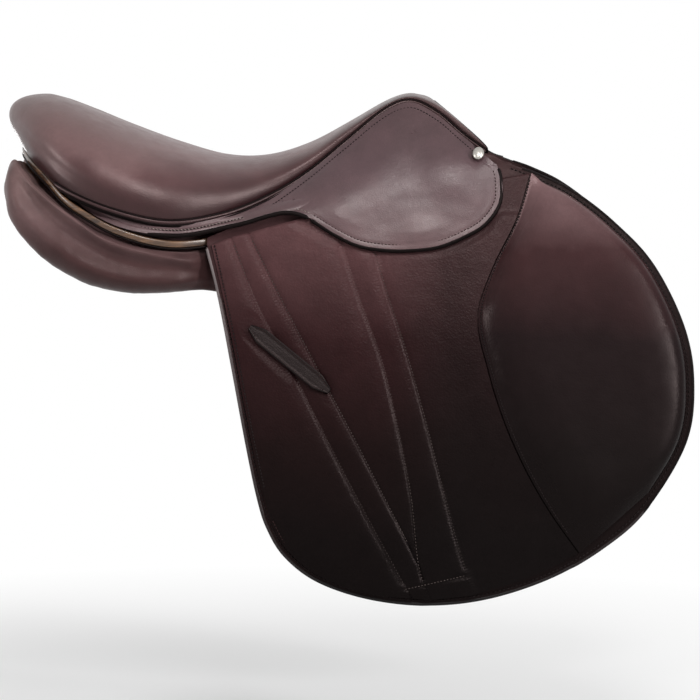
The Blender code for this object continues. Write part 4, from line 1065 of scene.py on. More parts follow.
def skirt_relief(cells):
    """How far the skirt stands out from its level face: soft unevenness, small wrinkles near the hip, and the
    two sewn grooves along its edges."""
    cells = np.asarray(cells, float)
    x, z = cells[..., 0], cells[..., 1]
    low, _ = nearest(cells, OUTLINE)
    high, _ = nearest(cells, UPPER_EDGE)
    inside = np.clip(np.minimum(low, high) / 16, 0, 1)
    soft = 0.7 * waves(cells, 46, 3) + 0.16 * waves(cells, 15, 8)
    for swell_x, swell_z, wide, high_by in SKIRT_SWELLS:
        soft = soft + high_by * np.exp(-((x - swell_x)**2 + (z - swell_z)**2) / (2 * wide**2))
    hip = np.exp(-((x - HIP_X) / HIP_WIDE)**2)
    wrinkles = hip * (HIP_WRINKLE * waves(np.stack([x * 1.0, z * 0.25], -1), 6.5, 5))
    tilt = HIP_TILT * np.clip((TILT_X - x) / TILT_LONG, 0, 1) * high / np.maximum(low + high, 1)
    grooves = sum(SKIRT_GROOVE * np.exp(-((gap - SKIRT_SEAM) / GROOVE_WIDE)**2) for gap in (low, high))
    return soft * inside + wrinkles + tilt - grooves + skirt_rounding(x, z)


def make_skirt():
    """The skirt's fixed head, and the part that lifts. Their walls along the fold stay plain."""
    x = np.linspace(SKIRT_REAR_X, SKIRT_FRONT_X + 2, 260)
    low = np.where(x < SKIRT_LOW[-1][0], height_at(SKIRT_LOW, x), fold_z(x))
    top = skirt_top(x)
    s = np.linspace(0, 1, 26)
    last = np.clip((x - x[-1]) / SKIRT_CORNER + 1, 0, 1)
    top = blend(low, top, np.sqrt(np.maximum(1 - last**2, 0.04)))
    head = np.stack([np.repeat(x[:, None], len(s), 1), blend(low[:, None], top[:, None], s[None])], -1)
    top = [(px, fold_z(px)) for px in (SKIRT_EDGE[0][0] + 2, SKIRT_FRONT_X + 2)]
    rear, front = (top[0], SKIRT_EDGE[1]), (top[1], SKIRT_EDGE[-2], SKIRT_EDGE[-3])
    loose = patch(top, SKIRT_EDGE[1:-2], sample(rear, 30), sample(front, 30), 90)
    for node, cells, body in (("skirt_head", head, ROOT), ("skirt", loose, "skirt_body")):
        outer = side_points(cells, SKIRT_OUT + skirt_relief(cells))
        inner = side_points(cells, SKIRT_CLEAR)
        piece = slab(node + "_leather", outer, inner, [SKIRT, EDGE], edge=1.0,
                     plain=lambda px, pz: px > 37 and abs(pz - fold_z(px)) < 2.4)
        pair(piece, body, "skirt_leather", node)


LEDGE_RIBS = (0.5, 10.9)
LEDGE_THICK = 1.4
LEDGE_BELOW = 0.9  # under the skirt's top
LEDGE_INNER = Vector((0, -1.5, -5.6))  # from the welt line to the ledge's inner edge
LEDGE_WIDE = 1.0  # at least


def make_skirt_ledge():
    """The turned edge that joins the skirt's top to the seat, under the piping."""
    inner = [seat_point(u, 1) + LEDGE_INNER for u in steps(150, *LEDGE_RIBS)]
    top = [(p.x, float(skirt_top(p.x)) - LEDGE_BELOW) for p in inner]
    outer = side_points(top, SKIRT_OUT - LEDGE_THICK)
    outer[:, 1] = np.maximum(outer[:, 1], [p.y + LEDGE_WIDE for p in inner])
    upper = np.array([[blend(np.array(a), b, s) for s in steps(4)] for a, b in zip(inner, outer)])
    ledge = slab("skirt_ledge", upper, upper - np.array([0, 0, LEDGE_THICK]), [PIPING_SHADE], edge=0.4)
    pair(ledge, ROOT, "dark_leather")


def edge_bead(name, line, out, radius, body, material):
    """The rounded, painted edge of a piece of leather, along a line of (x, z)."""
    line = even([tuple(p) for p in line], 2.0)
    pair(tube(name, side_points(line, out), radius, material, sides=12, tip=0.3), body, "dark_leather")


SKIRT_STITCH, SKIRT_THREAD = 3.3, 0.52  # from stitch to stitch, and how thick the thread is
SKIRT_EDGE_RADIUS, SKIRT_EDGE_OUT = 2.1, 2.2


def make_skirt_seams():
    """The edge and the thread along the skirt's outline: on the fixed head, and on the part that lifts."""
    flat = np.array([(x, z) for x, z in OUTLINE])
    way = np.gradient(flat, axis=0)
    way /= np.linalg.norm(way, axis=1, keepdims=True)
    inside = flat + np.stack([-way[:, 1], way[:, 0]], -1) * SKIRT_SEAM
    lifted = inside[:, 1] < fold_z(inside[:, 0]) - 0.5
    lifted &= inside[:, 0] > 30
    first, last = np.argmax(lifted), len(lifted) - np.argmax(lifted[::-1])
    tilt = HIP_TILT * np.clip((TILT_X - flat[:, 0]) / TILT_LONG, 0, 1)
    for word, part, body in (("rear", slice(None, first), ROOT), ("low", slice(first, last), "skirt_body")):
        out = SKIRT_CLEAR + SKIRT_EDGE_OUT + 0.8 * float(tilt[part].mean())
        edge_bead("skirt_edge_" + word, flat[part], out, SKIRT_EDGE_RADIUS, body, EDGE)
    upper = [(x, float(skirt_top(x)) - SKIRT_SEAM) for x in steps(300, SKIRT_REAR_X + 7, SKIRT_FRONT_X - 12)]
    for word, line, body, material in (("rear", inside[:first], ROOT, GREY_THREAD),
                                       ("low", inside[first:last], "skirt_body", DARK_THREAD),
                                       ("top", np.array(upper), ROOT, BLACK_THREAD)):
        x, z = line[:, 0], line[:, 1]
        out = SKIRT_OUT - 0.3 + skirt_rounding(x, z)
        row = stitch_row("skirt_seam_" + word, side_points(line, out), side_normals(x, z), material,
                         SKIRT_STITCH, thick=SKIRT_THREAD)
        pair(row, body, "dark_leather")


# Flap

WINDOW_CUT = (8, -20)  # the cutter reaches from here out to here in, past the flap's outer face


def cut_window(piece):
    """Takes the opening for the stirrup bar out of a left-hand sheet."""
    rows = [[(x, fold_z(x) - down) for x in (WINDOW_REAR_X, WINDOW_FRONT_X)]
            for down in (WINDOW_TOP, WINDOW_LOW)]
    upper, lower = (side_points(rows, out) for out in WINDOW_CUT)
    cut_by(piece, slab("window_cutter", upper, lower, [EDGE], edge=0))


FLAP_MIDDLE = Vector((170, -90))


def inset(points, margin):
    """The points moved towards the middle of the flap by margin."""
    moved = []
    for p in points:
        way = FLAP_MIDDLE - Vector(p)
        moved.append(tuple(Vector(p) + way.normalized() * margin))
    return tuple(moved)


def flap_cells():
    """The grid of (x, z) over the flap. Its three free edges are stretches of one smooth outline."""
    top = [(x, fold_z(x) - FOLD_GAP) for x in (FLAP_REAR[0][0], FLAP_FRONT[0][0])]
    outline = (top[0],) + FLAP_REAR[1:] + FLAP_FOOT[1:] + FLAP_FRONT[-2:0:-1] + (top[1],)
    first, second = len(FLAP_REAR) - 1, len(FLAP_REAR) + len(FLAP_FOOT) - 2
    rear = [through(outline, u) for u in steps(90, 0, first)]
    foot = [through(outline, u) for u in steps(90, first, second)]
    front = [through(outline, u) for u in steps(90, second, len(outline) - 1)][::-1]
    whole = patch(top, foot, rear, front, 90)
    x = whole[0, :, 0]
    rise = np.maximum(height_at(FLAP_HEAD_RISE, x), 0.3)
    share = np.linspace(1, 0, 9)[:-1, None]
    height = fold_z(x)[None] - FOLD_GAP + share * (rise + FOLD_GAP)[None]
    head = np.stack([np.repeat(x[None], len(share), 0), height], -1)
    return np.concatenate([head, whole])


RIM_SEAM_REAR, RIM_SEAM = 3.0, 3.6  # how far inside the flap's edge its seam lies
RIM_GROOVE, RIM_GROOVE_WIDE = 0.8, 1.4
HEAD_EASE = 12  # over this height above the fold the flap's head goes in under the skirt


def make_flap():
    """The flap with its fixed head, one sheet from above the fold down to its foot, whose head goes in under
    the skirt. Returns the line of its edge's seam.
    """
    cells = flap_cells()
    x, z = cells[..., 0], cells[..., 1]
    share = np.clip((z - fold_z(x)) / HEAD_EASE, 0, 1)
    out = blend(FLAP_OUT, -SKIRT_CLEAR, eased(share))
    rim = np.array(inset(FLAP_REAR[1:], RIM_SEAM_REAR) + inset(FLAP_FOOT[1:], RIM_SEAM)
                   + inset(FLAP_FRONT[::-1][1:], RIM_SEAM))
    gap, _ = nearest(cells, even([tuple(p) for p in rim], 3.0))
    groove = RIM_GROOVE * np.exp(-(gap / RIM_GROOVE_WIDE)**2)
    flap = slab("flap_leather", side_points(cells, out - groove), side_points(cells, out - FLAP_THICK),
                [FLAP, EDGE], edge=1.2)
    cut_window(flap)
    both = (flap, mirrored(flap, "flap_leather_right"))
    flap.name = "flap_leather_left"
    for piece, word in zip(both, ("left", "right")):
        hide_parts("flap_" + word, "flap_head_" + word)
        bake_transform(piece)
    return rim


QUILT_SWELL = 1.9
CLOSING = ((127, -265), (184, -252))  # the seam across the feet of the quilting's lines
SEWN_LEVEL, CLOSING_LEVEL = -1.7, 0.1  # how far out the seams lie
QUILT_ROWS, QUILT_COLUMNS = 170, (30, 18, 28, 18, 30)  # the columns of the grid in each strip
QUILT_MEET = 0.6  # from where the second and third line are this near, they are one
QUILT_LEVEL, QUILT_MOST = 0.3, 2.6  # how far out the padding is where it is flat, and most above that
QUILT_FULL, QUILT_LEAST = 30, 0.35  # a strip this wide has its full swell, a narrow one at least this share
QUILT_DROPS = ((3.0, 5.0), (1.5, 8.0))  # how deep it drops at its front and rear line, and how near to them
SEAM_GROOVE, SEAM_GROOVE_WIDE, SEAM_FADE = 0.5, 1.2, 6
KNEE_OVERLAP = 20  # how far the last strip goes on under the knee pad
KEEPER_CLEAR, SKIRT_OVER = (11, 12), (6, 10)  # where the padding has to be flat, and how it rises from there
FOOT_DROP, FOOT_EASE, QUILT_LOWEST = 1.0, 3.0, -2.9


def closing_z(x):
    (x_rear, z_rear), (x_front, z_front) = CLOSING
    return z_rear + (x - x_rear) * (z_front - z_rear) / (x_front - x_rear)


def make_facing():
    """The flap's quilted padding. Returns its sewn lines and the line of its foot."""
    lines = [np.array(sample(line, QUILT_ROWS)) for line in (FACING_REAR,) + QUILT_LINES + (KNEE_REAR,)]
    met = min(i for i in range(QUILT_ROWS) if np.linalg.norm(lines[2][i] - lines[3][i]) < QUILT_MEET)
    lines[2] = np.concatenate([lines[2][:met], lines[3][met:]])
    grids, behind, ahead = [], [], []
    for rear, front, foot, across in zip(lines, lines[1:], FACING_FEET, QUILT_COLUMNS):
        cells = patch((tuple(rear[0]), tuple(front[0])), foot, rear, front, across)
        first = 1 if grids else 0
        grids.append(cells[:, first:])
        wide = np.linalg.norm(cells - cells[:, :1], axis=-1)
        behind.append(wide[:, first:])
        left = wide[:, -1:] - wide
        ahead.append((left + (KNEE_OVERLAP if front is lines[-1] else 0))[:, first:])
    cells = np.concatenate(grids, axis=1)
    behind, ahead = np.concatenate(behind, axis=1), np.concatenate(ahead, axis=1)
    x, z = cells[..., 0], cells[..., 1]
    z = np.minimum(z, fold_z(x) - FOLD_GAP)
    cells = np.stack([x, z], -1)
    gap, along = np.full(x.shape, 1e9), np.zeros(x.shape)
    feet = [tuple(p) for part in FACING_FEET[:1] + FACING_FEET[3:] for p in part]
    for line in lines[1:5]:
        near, run = nearest(cells, line)
        along = np.where(near < gap, run, along)
        gap = np.minimum(near, gap)
    # Each strip swells towards its front line, and drops to it. The lines end at the closing seam.
    whole = behind + ahead
    sewn = np.clip((z - closing_z(x)) / SEAM_FADE, 0, 1)
    drop = sum(deep * np.exp(-far / reach) for far, (deep, reach) in zip((ahead, behind), QUILT_DROPS))
    drop += SEAM_GROOVE * np.exp(-(gap / SEAM_GROOVE_WIDE)**2)
    share = behind / np.maximum(whole, 1e-6)
    swell = QUILT_SWELL * np.clip(whole / QUILT_FULL, QUILT_LEAST, 1) * eased(share)
    puff = QUILT_LEVEL + swell - drop * sewn
    keeper = nearest(cells, (KEEPER_REAR, KEEPER_FRONT))[0]
    skirt_low = np.interp(x, *zip(*(SKIRT_LOW[:-1] + SKIRT_EDGE[1:9])))
    free = (np.clip((keeper - KEEPER_CLEAR[0]) / KEEPER_CLEAR[1], 0, 1)
            * np.clip((skirt_low - SKIRT_OVER[0] - z) / SKIRT_OVER[1], 0, 1))
    puff = np.minimum(puff, QUILT_LEVEL + QUILT_MOST * free)
    puff += (CLOSING_LEVEL - puff) * np.exp(-(nearest(cells, CLOSING)[0] / 2.6)**2)
    foot_gap = nearest(cells, even(feet, 3.0))[0]
    puff = np.maximum(puff - FOOT_DROP * np.exp(-foot_gap / FOOT_EASE), QUILT_LOWEST)
    upper = side_points(cells, puff)
    lower = side_points(cells, FLAP_OUT + 0.1)
    facing = slab("flap_quilting", upper, lower, [QUILTED, EDGE], edge=0.8,
                  fields={"seam_gap": gap, "seam_run": along})
    cut_window(facing)
    for piece in pair(facing, "flap_body", "flap_leather", "flap_facing"):
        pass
    return lines, feet


KNEE_HEM, KNEE_FRONT_HEM = 3.2, 1.4  # the flat hems along the pad's rear and front
KNEE_REAR_ROUND, KNEE_FRONT_ROUND = 52.0, 46.0  # how wide the pad rounds off towards them
KNEE_TALL, KNEE_TOP_ROUND, KNEE_FOOT_ROUND = 400.0, 70, 60
KNEE_REAR_SHIFT = 1.5
KNEE_LEVEL = 0.4  # how far out its flat hem lies
KNEE_TURN, KNEE_TURN_WIDE = 3.0, 1.8  # its front hem is turned down by this much, within this width
KNEE_WAVES = ((0.6, 38, 11), (0.12, 11, 4))  # how high its unevenness is, how wide, and which one it is
KNEE_ROWS, KNEE_COLUMNS = 110, 64


def shoulder(share):
    """A rise from 0 to 1 that is steep at first and then rounds off."""
    return 1 - (1 - np.clip(share, 0, 1))**2.2


def make_knee_pad():
    """The stuffed pad along the flap's front. Returns its grid of (x, z)."""
    front = inset(FLAP_FRONT[1:], KNEE_MARGIN)
    rear = tuple((x + KNEE_REAR_SHIFT, z) for x, z in KNEE_REAR)
    rows = []
    for t in steps(KNEE_ROWS):
        a, b = through(rear, t * (len(rear) - 1)), through(front, blend(0, len(front) - 1.25, t))
        rows.append([(blend(a[0], b[0], s), blend(a[1], b[1], s)) for s in steps(KNEE_COLUMNS)])
    cells = np.array(rows)
    t, s = np.meshgrid(steps(KNEE_ROWS), steps(KNEE_COLUMNS), indexing="ij")
    wide = np.linalg.norm(cells[:, -1] - cells[:, 0], axis=1)[:, None]
    rear_gap = np.maximum(s * wide - KNEE_HEM, 0)
    front_gap = np.maximum((1 - s) * wide - KNEE_FRONT_HEM, 0)
    down = t * KNEE_TALL
    ends = shoulder(down / KNEE_TOP_ROUND) * shoulder((KNEE_TALL - down) / KNEE_FOOT_ROUND)
    roll = np.sqrt(1 - (1 - np.clip(front_gap / KNEE_FRONT_ROUND, 0, 1))**2)
    rise = KNEE_CROWN * shoulder(rear_gap / KNEE_REAR_ROUND) * roll * ends
    soft = sum(high * waves(cells, size, seed) for high, size, seed in KNEE_WAVES)
    turned = KNEE_TURN * np.exp(-(1 - s) * wide / KNEE_TURN_WIDE)
    upper = side_points(cells, KNEE_LEVEL - turned + rise + soft * np.clip(rise / 6, 0, 1))
    lower = side_points(cells, FLAP_OUT + SEWN_GAP)
    pad = slab("knee_pad_leather", upper, lower, [KNEE, EDGE], edge=0.9)
    for piece in pair(pad, "flap_body", "flap_leather", "knee_pad"):
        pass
    return cells


FLAP_BEAD_START, FLAP_BEAD_END = (-54.6, 46.0), (236.0, 117.5)
BEAD_RADIUS, BEAD_IN, BEAD_OVERLAP = 1.9, 1.8, (3, 2)
FLAP_STITCH = 3.0
SECOND_SEAM_SHARE = 0.86  # the second quilting seam ends where it meets the third


def make_flap_seams(lines, feet, rim, knee):
    """The stitches on the flap, and the bead along its edge, which is grey at the rear, partly as a painted
    reflection, and dark in front.
    """
    for n, line in enumerate(lines[1:5]):
        row = [tuple(p) for p in line[3:-1:4] if p[1] > closing_z(p[0])]
        if n == 1:
            row = row[:int(len(row) * SECOND_SEAM_SHARE)]
        side_seam("quilt_seam_%d" % (n + 1), row, SEWN_LEVEL, "flap_body", QUILT_THREAD, FLAP_STITCH,
                  long=1.8, thick=0.36)
    side_seam("closing_seam", CLOSING, CLOSING_LEVEL, "flap_body", QUILT_THREAD, FLAP_STITCH,
              long=1.8, thick=0.36)
    side_seam("facing_seam_rear", [(x + 2.6, z) for x, z in FACING_REAR[:-1]], -0.5, "flap_body",
              BLACK_THREAD, FLAP_STITCH, thick=0.6)
    side_seam("facing_seam_foot", [(x, z + 3.2) for x, z in feet], -0.7, "flap_body",
              DARK_THREAD, FLAP_STITCH)
    outline = (FLAP_BEAD_START,) + FLAP_REAR[1:] + FLAP_FOOT[1:] + FLAP_FRONT[-2:0:-1] + (FLAP_BEAD_END,)
    outline = even(outline, 2.0)
    turn = int(np.argmin(np.hypot(*(outline - FLAP_FRONT[-1]).T)))
    past, before = BEAD_OVERLAP
    for word, part, material in (("rear", outline[:turn + past], GREY_EDGE_REFLECTION),
                                 ("front", outline[turn - before:], EDGE)):
        edge_bead("flap_edge_" + word, part, FLAP_OUT - BEAD_IN, BEAD_RADIUS, "flap_body", material)
    side_seam("rim_seam", [tuple(p) for p in rim], FLAP_OUT - 0.5, "flap_body", BLACK_THREAD, 4.0, long=3.1,
              thick=0.6)
    side_seam("knee_seam_rear", [tuple(p) for p in knee[2:-2:6, 1]], 0.5, "flap_body", BLACK_THREAD,
              FLAP_STITCH, thick=0.55)


# The keeper's edges: how far inside them the seam lies, and the swell and the groove along them, each as its
# height, its place from the middle at 0 to the edge at 1, and its width
KEEPER_SEAM = 2.2
KEEPER_EDGES = ((0.7, 0.82, 0.13), (-0.3, 0.6, 0.1))


def make_keeper():
    """The strap on the flap, narrower at its two ends, with a seam along both edges."""
    rear, front = Vector(KEEPER_REAR), Vector(KEEPER_FRONT)
    along = (front - rear).normalized()
    across = Vector((along.y, -along.x))
    cells, seams = [], ([], [])
    for t in steps(60):
        half = KEEPER_WIDE / 2 * min(1, 0.35 + 4.5 * min(t, 1 - t))
        middle = rear + (front - rear) * t
        cells.append([tuple(middle + across * half * s) for s in steps(12, -1, 1)])
        if 0.04 < t < 0.96:
            for row, s in zip(seams, (-1, 1)):
                row.append(tuple(middle + across * (half - KEEPER_SEAM) * s))
    cells = np.array(cells)
    s = np.abs(np.linspace(-1, 1, 13))[None, :]
    swell = sum(high * np.exp(-((s - at) / wide)**2) for high, at, wide in KEEPER_EDGES)
    upper = side_points(cells, SEWN_GAP + KEEPER_THICK + swell)
    strap = slab("keeper_strap", upper, side_points(cells, SEWN_GAP), [STRAP, EDGE], edge=1.0)
    pair(strap, "flap_body", "dark_leather", "leather_keeper")
    for word, row in zip(("upper", "lower"), seams):
        side_seam("keeper_seam_" + word, row, SEWN_GAP + KEEPER_THICK - 0.1, "flap_body", DARK_THREAD, 2.8,
                  long=1.9, thick=0.34)


# Under the flap

HOLES, HOLE_FIRST, HOLE_PITCH = 9, 34, 22  # how many, the first one above the tip, and from one to the next
HOLE_RADIUS, HOLE_LONG = 2.2, 12.0
BILLET_SEAM = 2.6  # how far inside its edges


def make_billets():
    """The girth straps, with their holes and seams."""
    for word, x_rear in BILLETS:
        half_wide = BILLET_WIDE / 2
        x_middle = x_rear + half_wide
        top = fold_z(x_middle) - BILLET_HEAD
        cells = []
        for z in steps(80, top, BILLET_FOOT_Z):
            down = z - BILLET_FOOT_Z
            half = half_wide * min(1.0, 0.35 + 0.65 * (down / BILLET_TIP)**0.8)
            cells.append([(x_middle + half * s, z) for s in steps(10, -1, 1)])
        upper, lower = side_points(cells, BILLET_OUT), side_points(cells, BILLET_IN)
        strap = slab("billet_%s_leather" % word, upper, lower, [STRAP, EDGE], edge=0.9)
        holes = bmesh.new()
        for n in range(HOLES):
            z = BILLET_FOOT_Z + HOLE_FIRST + n * HOLE_PITCH
            centre = side_points([(x_middle, z)], (BILLET_OUT + BILLET_IN) / 2)[0]
            normal = Vector(side_normals(x_middle, z))
            spin = normal.to_track_quat("Z", "X").to_matrix().to_4x4()
            spin.translation = Vector(centre) * MM
            bmesh.ops.create_cone(holes, cap_ends=True, segments=20, radius1=HOLE_RADIUS * MM,
                                  radius2=HOLE_RADIUS * MM, depth=HOLE_LONG * MM, matrix=spin)
        cut_by(strap, from_bmesh("hole_cutter", holes, [EDGE]))
        body = "billet_%s_body" % word
        pair(strap, body, "dark_leather", "billet_" + word)
        heights = (top - 4, top - 60, top - 120, BILLET_FOOT_Z + 24)
        for edge, side in (("rear", -1), ("front", 1)):
            line = [(x_middle + (half_wide - BILLET_SEAM) * side, z) for z in heights]
            side_seam("billet_%s_seam_%s" % (word, edge), line, BILLET_OUT, body, GREY_THREAD, 3.2,
                      thick=0.36)


SWEAT_SEAM = 5  # how far inside its edge


def make_sweat_flap():
    """The thin under flap."""
    top = ((SWEAT_REAR_X, fold_z(SWEAT_REAR_X) - SWEAT_TOP),
           (SWEAT_FRONT_X, fold_z(SWEAT_FRONT_X) - SWEAT_TOP - SWEAT_FRONT_DROP))
    rear = (top[0],) + inset(FLAP_REAR[3:], SWEAT_INSET)
    front = (top[1],) + inset(FLAP_FRONT[4:], SWEAT_INSET)
    foot = inset(FLAP_FOOT, SWEAT_INSET)
    cells = patch(top, foot, sample(rear, 60), sample(front, 60), 70)
    soft = 0.3 * waves(cells, 40, 21)
    upper = side_points(cells, SWEAT_OUT - 0.3 + soft)
    sheet = slab("sweat_flap_leather", upper, side_points(cells, SWEAT_IN), [LINING, EDGE], edge=0.9)
    pair(sheet, ROOT, "lining_leather", "sweat_flap")
    outline = FLAP_REAR[3:] + FLAP_FOOT[1:] + FLAP_FRONT[::-1][1:5]
    line = inset(outline, SWEAT_INSET + SWEAT_SEAM)
    side_seam("sweat_flap_seam", line, SWEAT_OUT - 0.2, ROOT, DARK_THREAD, 3.4)


# Panels

NOTHING_BESIDE = 200.0
SIDES_REAR_X, SIDES_TOP = -56, -30  # behind this x, and higher above the fold, nothing hangs beside the panel
POINT_ROOM = (22, 36, 14)  # behind, ahead of and below a tree point


def beside(x, z):
    """How far out a panel may reach at (x, z): up to what hangs on that side."""
    down = fold_z(x) - z
    if x < SIDES_REAR_X or down < SIDES_TOP:
        return NOTHING_BESIDE
    offset = SWEAT_IN - SEWN_GAP
    plate_in = BAR_OUT - BAR_THICK - LEATHER_GAP - BAR_PLATE_THICK
    point_front, point_rear = (SEAT_RIBS[rib][2] for rib in POINT_RIBS)
    behind, ahead, below = POINT_ROOM
    if point_rear - behind < x < point_front + ahead and down < POINT_LONG + below:
        offset = plate_in - SEWN_GAP - POINT_THICK - 1
    slope = float(side_y(x, z - 1) - side_y(x, z + 1)) / 2
    return float(side_y(x, z)) + (offset - 0.4) * math.hypot(1, slope)


# The stuffing hangs lower than the solid's by PANEL_DEEPER at each x, of which each numbered point of a
# section takes its share
PANEL_DEEPER = ((-246, 0.0), (-232, 3.0), (-205, 5.0), (-150, 5.0), (-115, 3.0), (-60, 0.0))
PANEL_AROUND, PANEL_EVENED = 24, 3  # points round a section, and how often each is evened with its neighbours
PANEL_TIP = ((0.7, 0.7), (1.0, 0.35))  # how far behind the last section two more lie, and how large they are
PANEL_HIP_X, PANEL_HIP_LONG = -30, 60  # behind this x the panel wrinkles, more and more over this length
PANEL_LOW_SHARES = ((3, 0.3), (4, 0.8), (5, 1.0), (6, 0.8))


def make_panel():
    """The stuffed panel, up against the tree and its steel, uneven and wrinkled at the rear."""
    above = bmesh.new()
    for node in ("tree", "spring_left", "spring_right", "head_plate", "channel_strip", "cantle_rim"):
        above.from_mesh(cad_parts[node].data)
    ceiling = BVHTree.FromBMesh(above)
    above.free()
    flat = [(s[0],) + sum(s[1:], ()) for s in PANELS]
    rows = []
    for u in steps(4 * (len(flat) - 1), 0, len(flat) - 1):
        x, *numbers = through(flat, u)
        deeper = float(height_at(PANEL_DEEPER, min(x, PANEL_DEEPER[-1][0])))
        for point, share in PANEL_LOW_SHARES:
            numbers[2 * point + 1] -= deeper * share
        wall_top, *outline = zip(numbers[::2], numbers[1::2])
        shoulder = (max(outline[0][0] - PANEL_SHOULDER, wall_top[0] + 3), outline[0][1])
        wall = (wall_top[0], (wall_top[1] + outline[-1][1]) / 2 if wall_top[1] < 120 else outline[-1][1] + 20)
        ring = [wall, wall_top, ((wall_top[0] + shoulder[0]) / 2, wall_top[1]), shoulder]
        ring += [tuple(through(outline, v)) for v in steps(PANEL_AROUND, 0, len(outline) - 1)]
        rows.append([])
        for y, z in ring:
            for near in (-PANEL_SEARCH, 0, PANEL_SEARCH):
                for beyond in (-PANEL_SEARCH, 0, PANEL_SEARCH):
                    hit = ceiling.ray_cast(Vector((x + near, y + beyond, -100)) * MM, (0, 0, 1))[0]
                    z = min(z, hit.z / MM - PANEL_CLEAR) if hit else z
            rows[-1].append((x, min(y, beside(x, z)), z))
    rows = np.array(rows)
    for _ in range(PANEL_EVENED):
        rows[1:-1] = (rows[:-2] + 2 * rows[1:-1] + rows[2:]) / 4
    rows = list(rows)
    first = rows[0]
    centre = first.mean(0)
    for back, size in PANEL_TIP:
        rows.insert(0, [tuple(p) for p in centre + (first - centre) * size - np.array([back, 0, 0])])
    panel = smoothed("panel_leather", rows, PANEL)
    mesh = panel.data
    places, normals = vectors_of(mesh) / MM, vectors_of(mesh, "normal")
    centre = places.mean(0)
    if ((places - centre) * normals).sum() < 0:
        normals = -normals
    hip = np.clip((PANEL_HIP_X - places[:, 0]) / PANEL_HIP_LONG, 0, 1)
    soft = 0.5 * waves(places, 30, 2)
    folds = hip * 0.5 * waves(places * np.array([1, 0.3, 0.25]), 8, 6)
    places += normals * (soft + folds - 0.4)[:, None]
    put_vertices(mesh, places * MM)
    mesh.update()
    for piece in pair(panel, ROOT, "panel_leather", "panel"):
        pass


STUD_OVAL = 0.78


def make_stud():
    base = side_points([(STUD_X, STUD_Z)], SKIRT_OUT + GAP)[0]
    normal = Vector(side_normals(STUD_X, STUD_Z))
    turn = np.array(normal.to_track_quat("Z", "X").to_matrix())
    profile = [(STUD_RADIUS * math.sin(a), STUD_HIGH * math.cos(a)) for a in steps(14, 0.04, 1.5)]
    profile += [(STUD_RADIUS, 0.1), (STUD_RADIUS - 0.6, -0.3)]
    around = [2 * math.pi * k / 48 for k in range(48)]
    rings = [[base + turn @ np.array([r * math.cos(a), r * math.sin(a) * STUD_OVAL, h]) for a in around]
             for r, h in profile]
    pair(ring_mesh("stud_dome", rings, [SILVER]), ROOT, "stud_metal", "stud")


NODE_SHARP = math.radians(40)  # on the frame's own meshes, edges sharper than this stay sharp


def finish_nodes():
    """The pieces that keep the frame's own mesh get a finish."""
    finishes = {
        "seat_foam": foam("foam_finish"),
        "seat_web": webbing("web_finish"),
        "tree": wood("tree_finish"),
        "head_plate": steel("plate_finish", shade(58, 56, 58), 0.45),
        "spring": steel("spring_finish", shade(120, 124, 132), 0.35),
        "channel_strip": LINING,
        "stirrup_bar": steel("bar_finish", shade(168, 166, 164), 0.32),
        "bar_catch": steel("catch_finish", shade(178, 176, 172), 0.3),
        "tree_point": wood("point_finish"),
        "girth_web": webbing("girth_web_finish"),
    }
    for name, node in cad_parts.items():
        for word, finish in finishes.items():
            if name.startswith(word):
                node.data.materials.clear()
                node.data.materials.append(finish)
                node.data.shade_smooth()
                node.data.set_sharp_from_angle(angle=NODE_SHARP)


# Camera, light and floor

AIM = Vector((0.0771, 0.0, -0.0630))  # in metres, as all places are in this part
AWAY = 3.0
RISE = math.radians(6)
LENS = 159.7
FLOOR, FLOOR_RADIUS = -450.0, 6000.0  # in millimetres
FLOOR_FADES = (0.2, 1.1)  # the floor fades into the white between these distances from the middle
WORLD_LEVEL = 0.24
# Each lamp: its name, its place, how wide and high it is, and its power
LAMPS = (
    ("key", (0.35, -2.05, 1.95), 0.8, 0.8, 40),
    ("front", (2.0, -1.45, 0.95), 0.45, 1.9, 58),
    ("rear", (-2.0, -1.0, 0.6), 0.6, 1.0, 18),
    ("far_side", (-0.2, 2.6, -0.15), 1.6, 0.4, 24),
)


def make_camera():
    data = bpy.data.cameras.new("camera")
    data.lens = LENS
    camera = bpy.data.objects.new("camera", data)
    bpy.context.scene.collection.objects.link(camera)
    back = Vector((0, -math.cos(RISE), math.sin(RISE)))
    camera.location = AIM + back * AWAY
    camera.rotation_euler = (-back).to_track_quat("-Z", "Y").to_euler()
    bpy.context.scene.camera = camera


def make_light(name, place, wide, high, power):
    data = bpy.data.lights.new(name, "AREA")
    data.shape = "ELLIPSE"
    data.size, data.size_y = wide, high
    data.energy = power
    lamp = bpy.data.objects.new(name, data)
    lamp.location = place
    lamp.rotation_euler = (AIM - Vector(place)).to_track_quat("-Z", "Y").to_euler()
    bpy.context.scene.collection.objects.link(lamp)


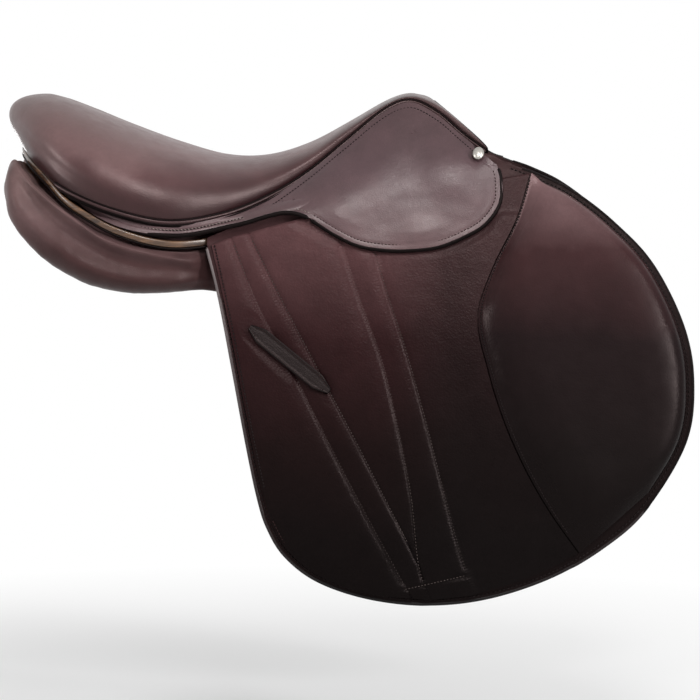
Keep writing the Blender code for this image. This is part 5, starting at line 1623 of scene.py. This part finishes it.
def seen_white(nodes, links):
    """1 for the rays that show the background: the camera's, and those by which metal and glass show it."""
    path = nodes.new("ShaderNodeLightPath").outputs
    shown = path["Is Camera Ray"]
    for word in ("Is Glossy Ray", "Is Transmission Ray"):
        most = nodes.new("ShaderNodeMath")
        most.operation = "MAXIMUM"
        links.new(shown, most.inputs[0])
        links.new(path[word], most.inputs[1])
        shown = most.outputs[0]
    return shown


def make_world():
    world = bpy.data.worlds.new("studio")
    bpy.context.scene.world = world
    world.use_nodes = True
    nodes, links = world.node_tree.nodes, world.node_tree.links
    level = nodes.new("ShaderNodeMapRange")
    level.inputs["To Min"].default_value = WORLD_LEVEL
    links.new(seen_white(nodes, links), level.inputs["Value"])
    links.new(level.outputs[0], nodes["Background"].inputs["Strength"])
    nodes["Background"].inputs["Color"].default_value = (1, 1, 1, 1)


def make_floor():
    """A pale floor that runs out into the white of the background."""
    surface = Surface("floor_paint", 0.9, Specular_IOR_Level=0.0)
    surface.set("Base Color", surface.mix(surface.spread(surface.noise(400, 2), 0.3, 0.7), (0.86, 0.86, 0.86),
                                          (0.88, 0.88, 0.88)))
    away = surface.add("ShaderNodeVectorMath", {"operation": "LENGTH"}, Vector=surface.place).outputs["Value"]
    white_rays = seen_white(surface.tree.nodes, surface.tree.links)
    share = surface.math("MULTIPLY", surface.spread(away, *FLOOR_FADES), white_rays)
    white = surface.add("ShaderNodeEmission").outputs[0]
    mixed = surface.add("ShaderNodeMixShader", i0=share, i1=surface.shader.outputs[0], i2=white).outputs[0]
    surface.tree.links.new(mixed, surface.tree.nodes["Material Output"].inputs["Surface"])
    turns = [2 * math.pi * k / 48 for k in range(48)]
    points = [(FLOOR_RADIUS * math.cos(a), FLOOR_RADIUS * math.sin(a), FLOOR) for a in turns]
    mesh_object("studio_floor", points, [tuple(range(len(points)))], [surface.material])


def make_studio():
    bpy.context.scene.view_settings.view_transform = "Standard"
    make_world()
    make_floor()
    for lamp in LAMPS:
        make_light(*lamp)


make_seat_cover()
make_piping()
make_rim()
make_pommel_facing()
make_skirt()
make_skirt_ledge()
make_skirt_seams()
rim_line = make_flap()
quilt_lines, foot_line = make_facing()
knee_cells = make_knee_pad()
make_flap_seams(quilt_lines, foot_line, rim_line, knee_cells)
make_keeper()
make_billets()
make_sweat_flap()
make_panel()
make_stud()
finish_nodes()
make_camera()
make_studio()
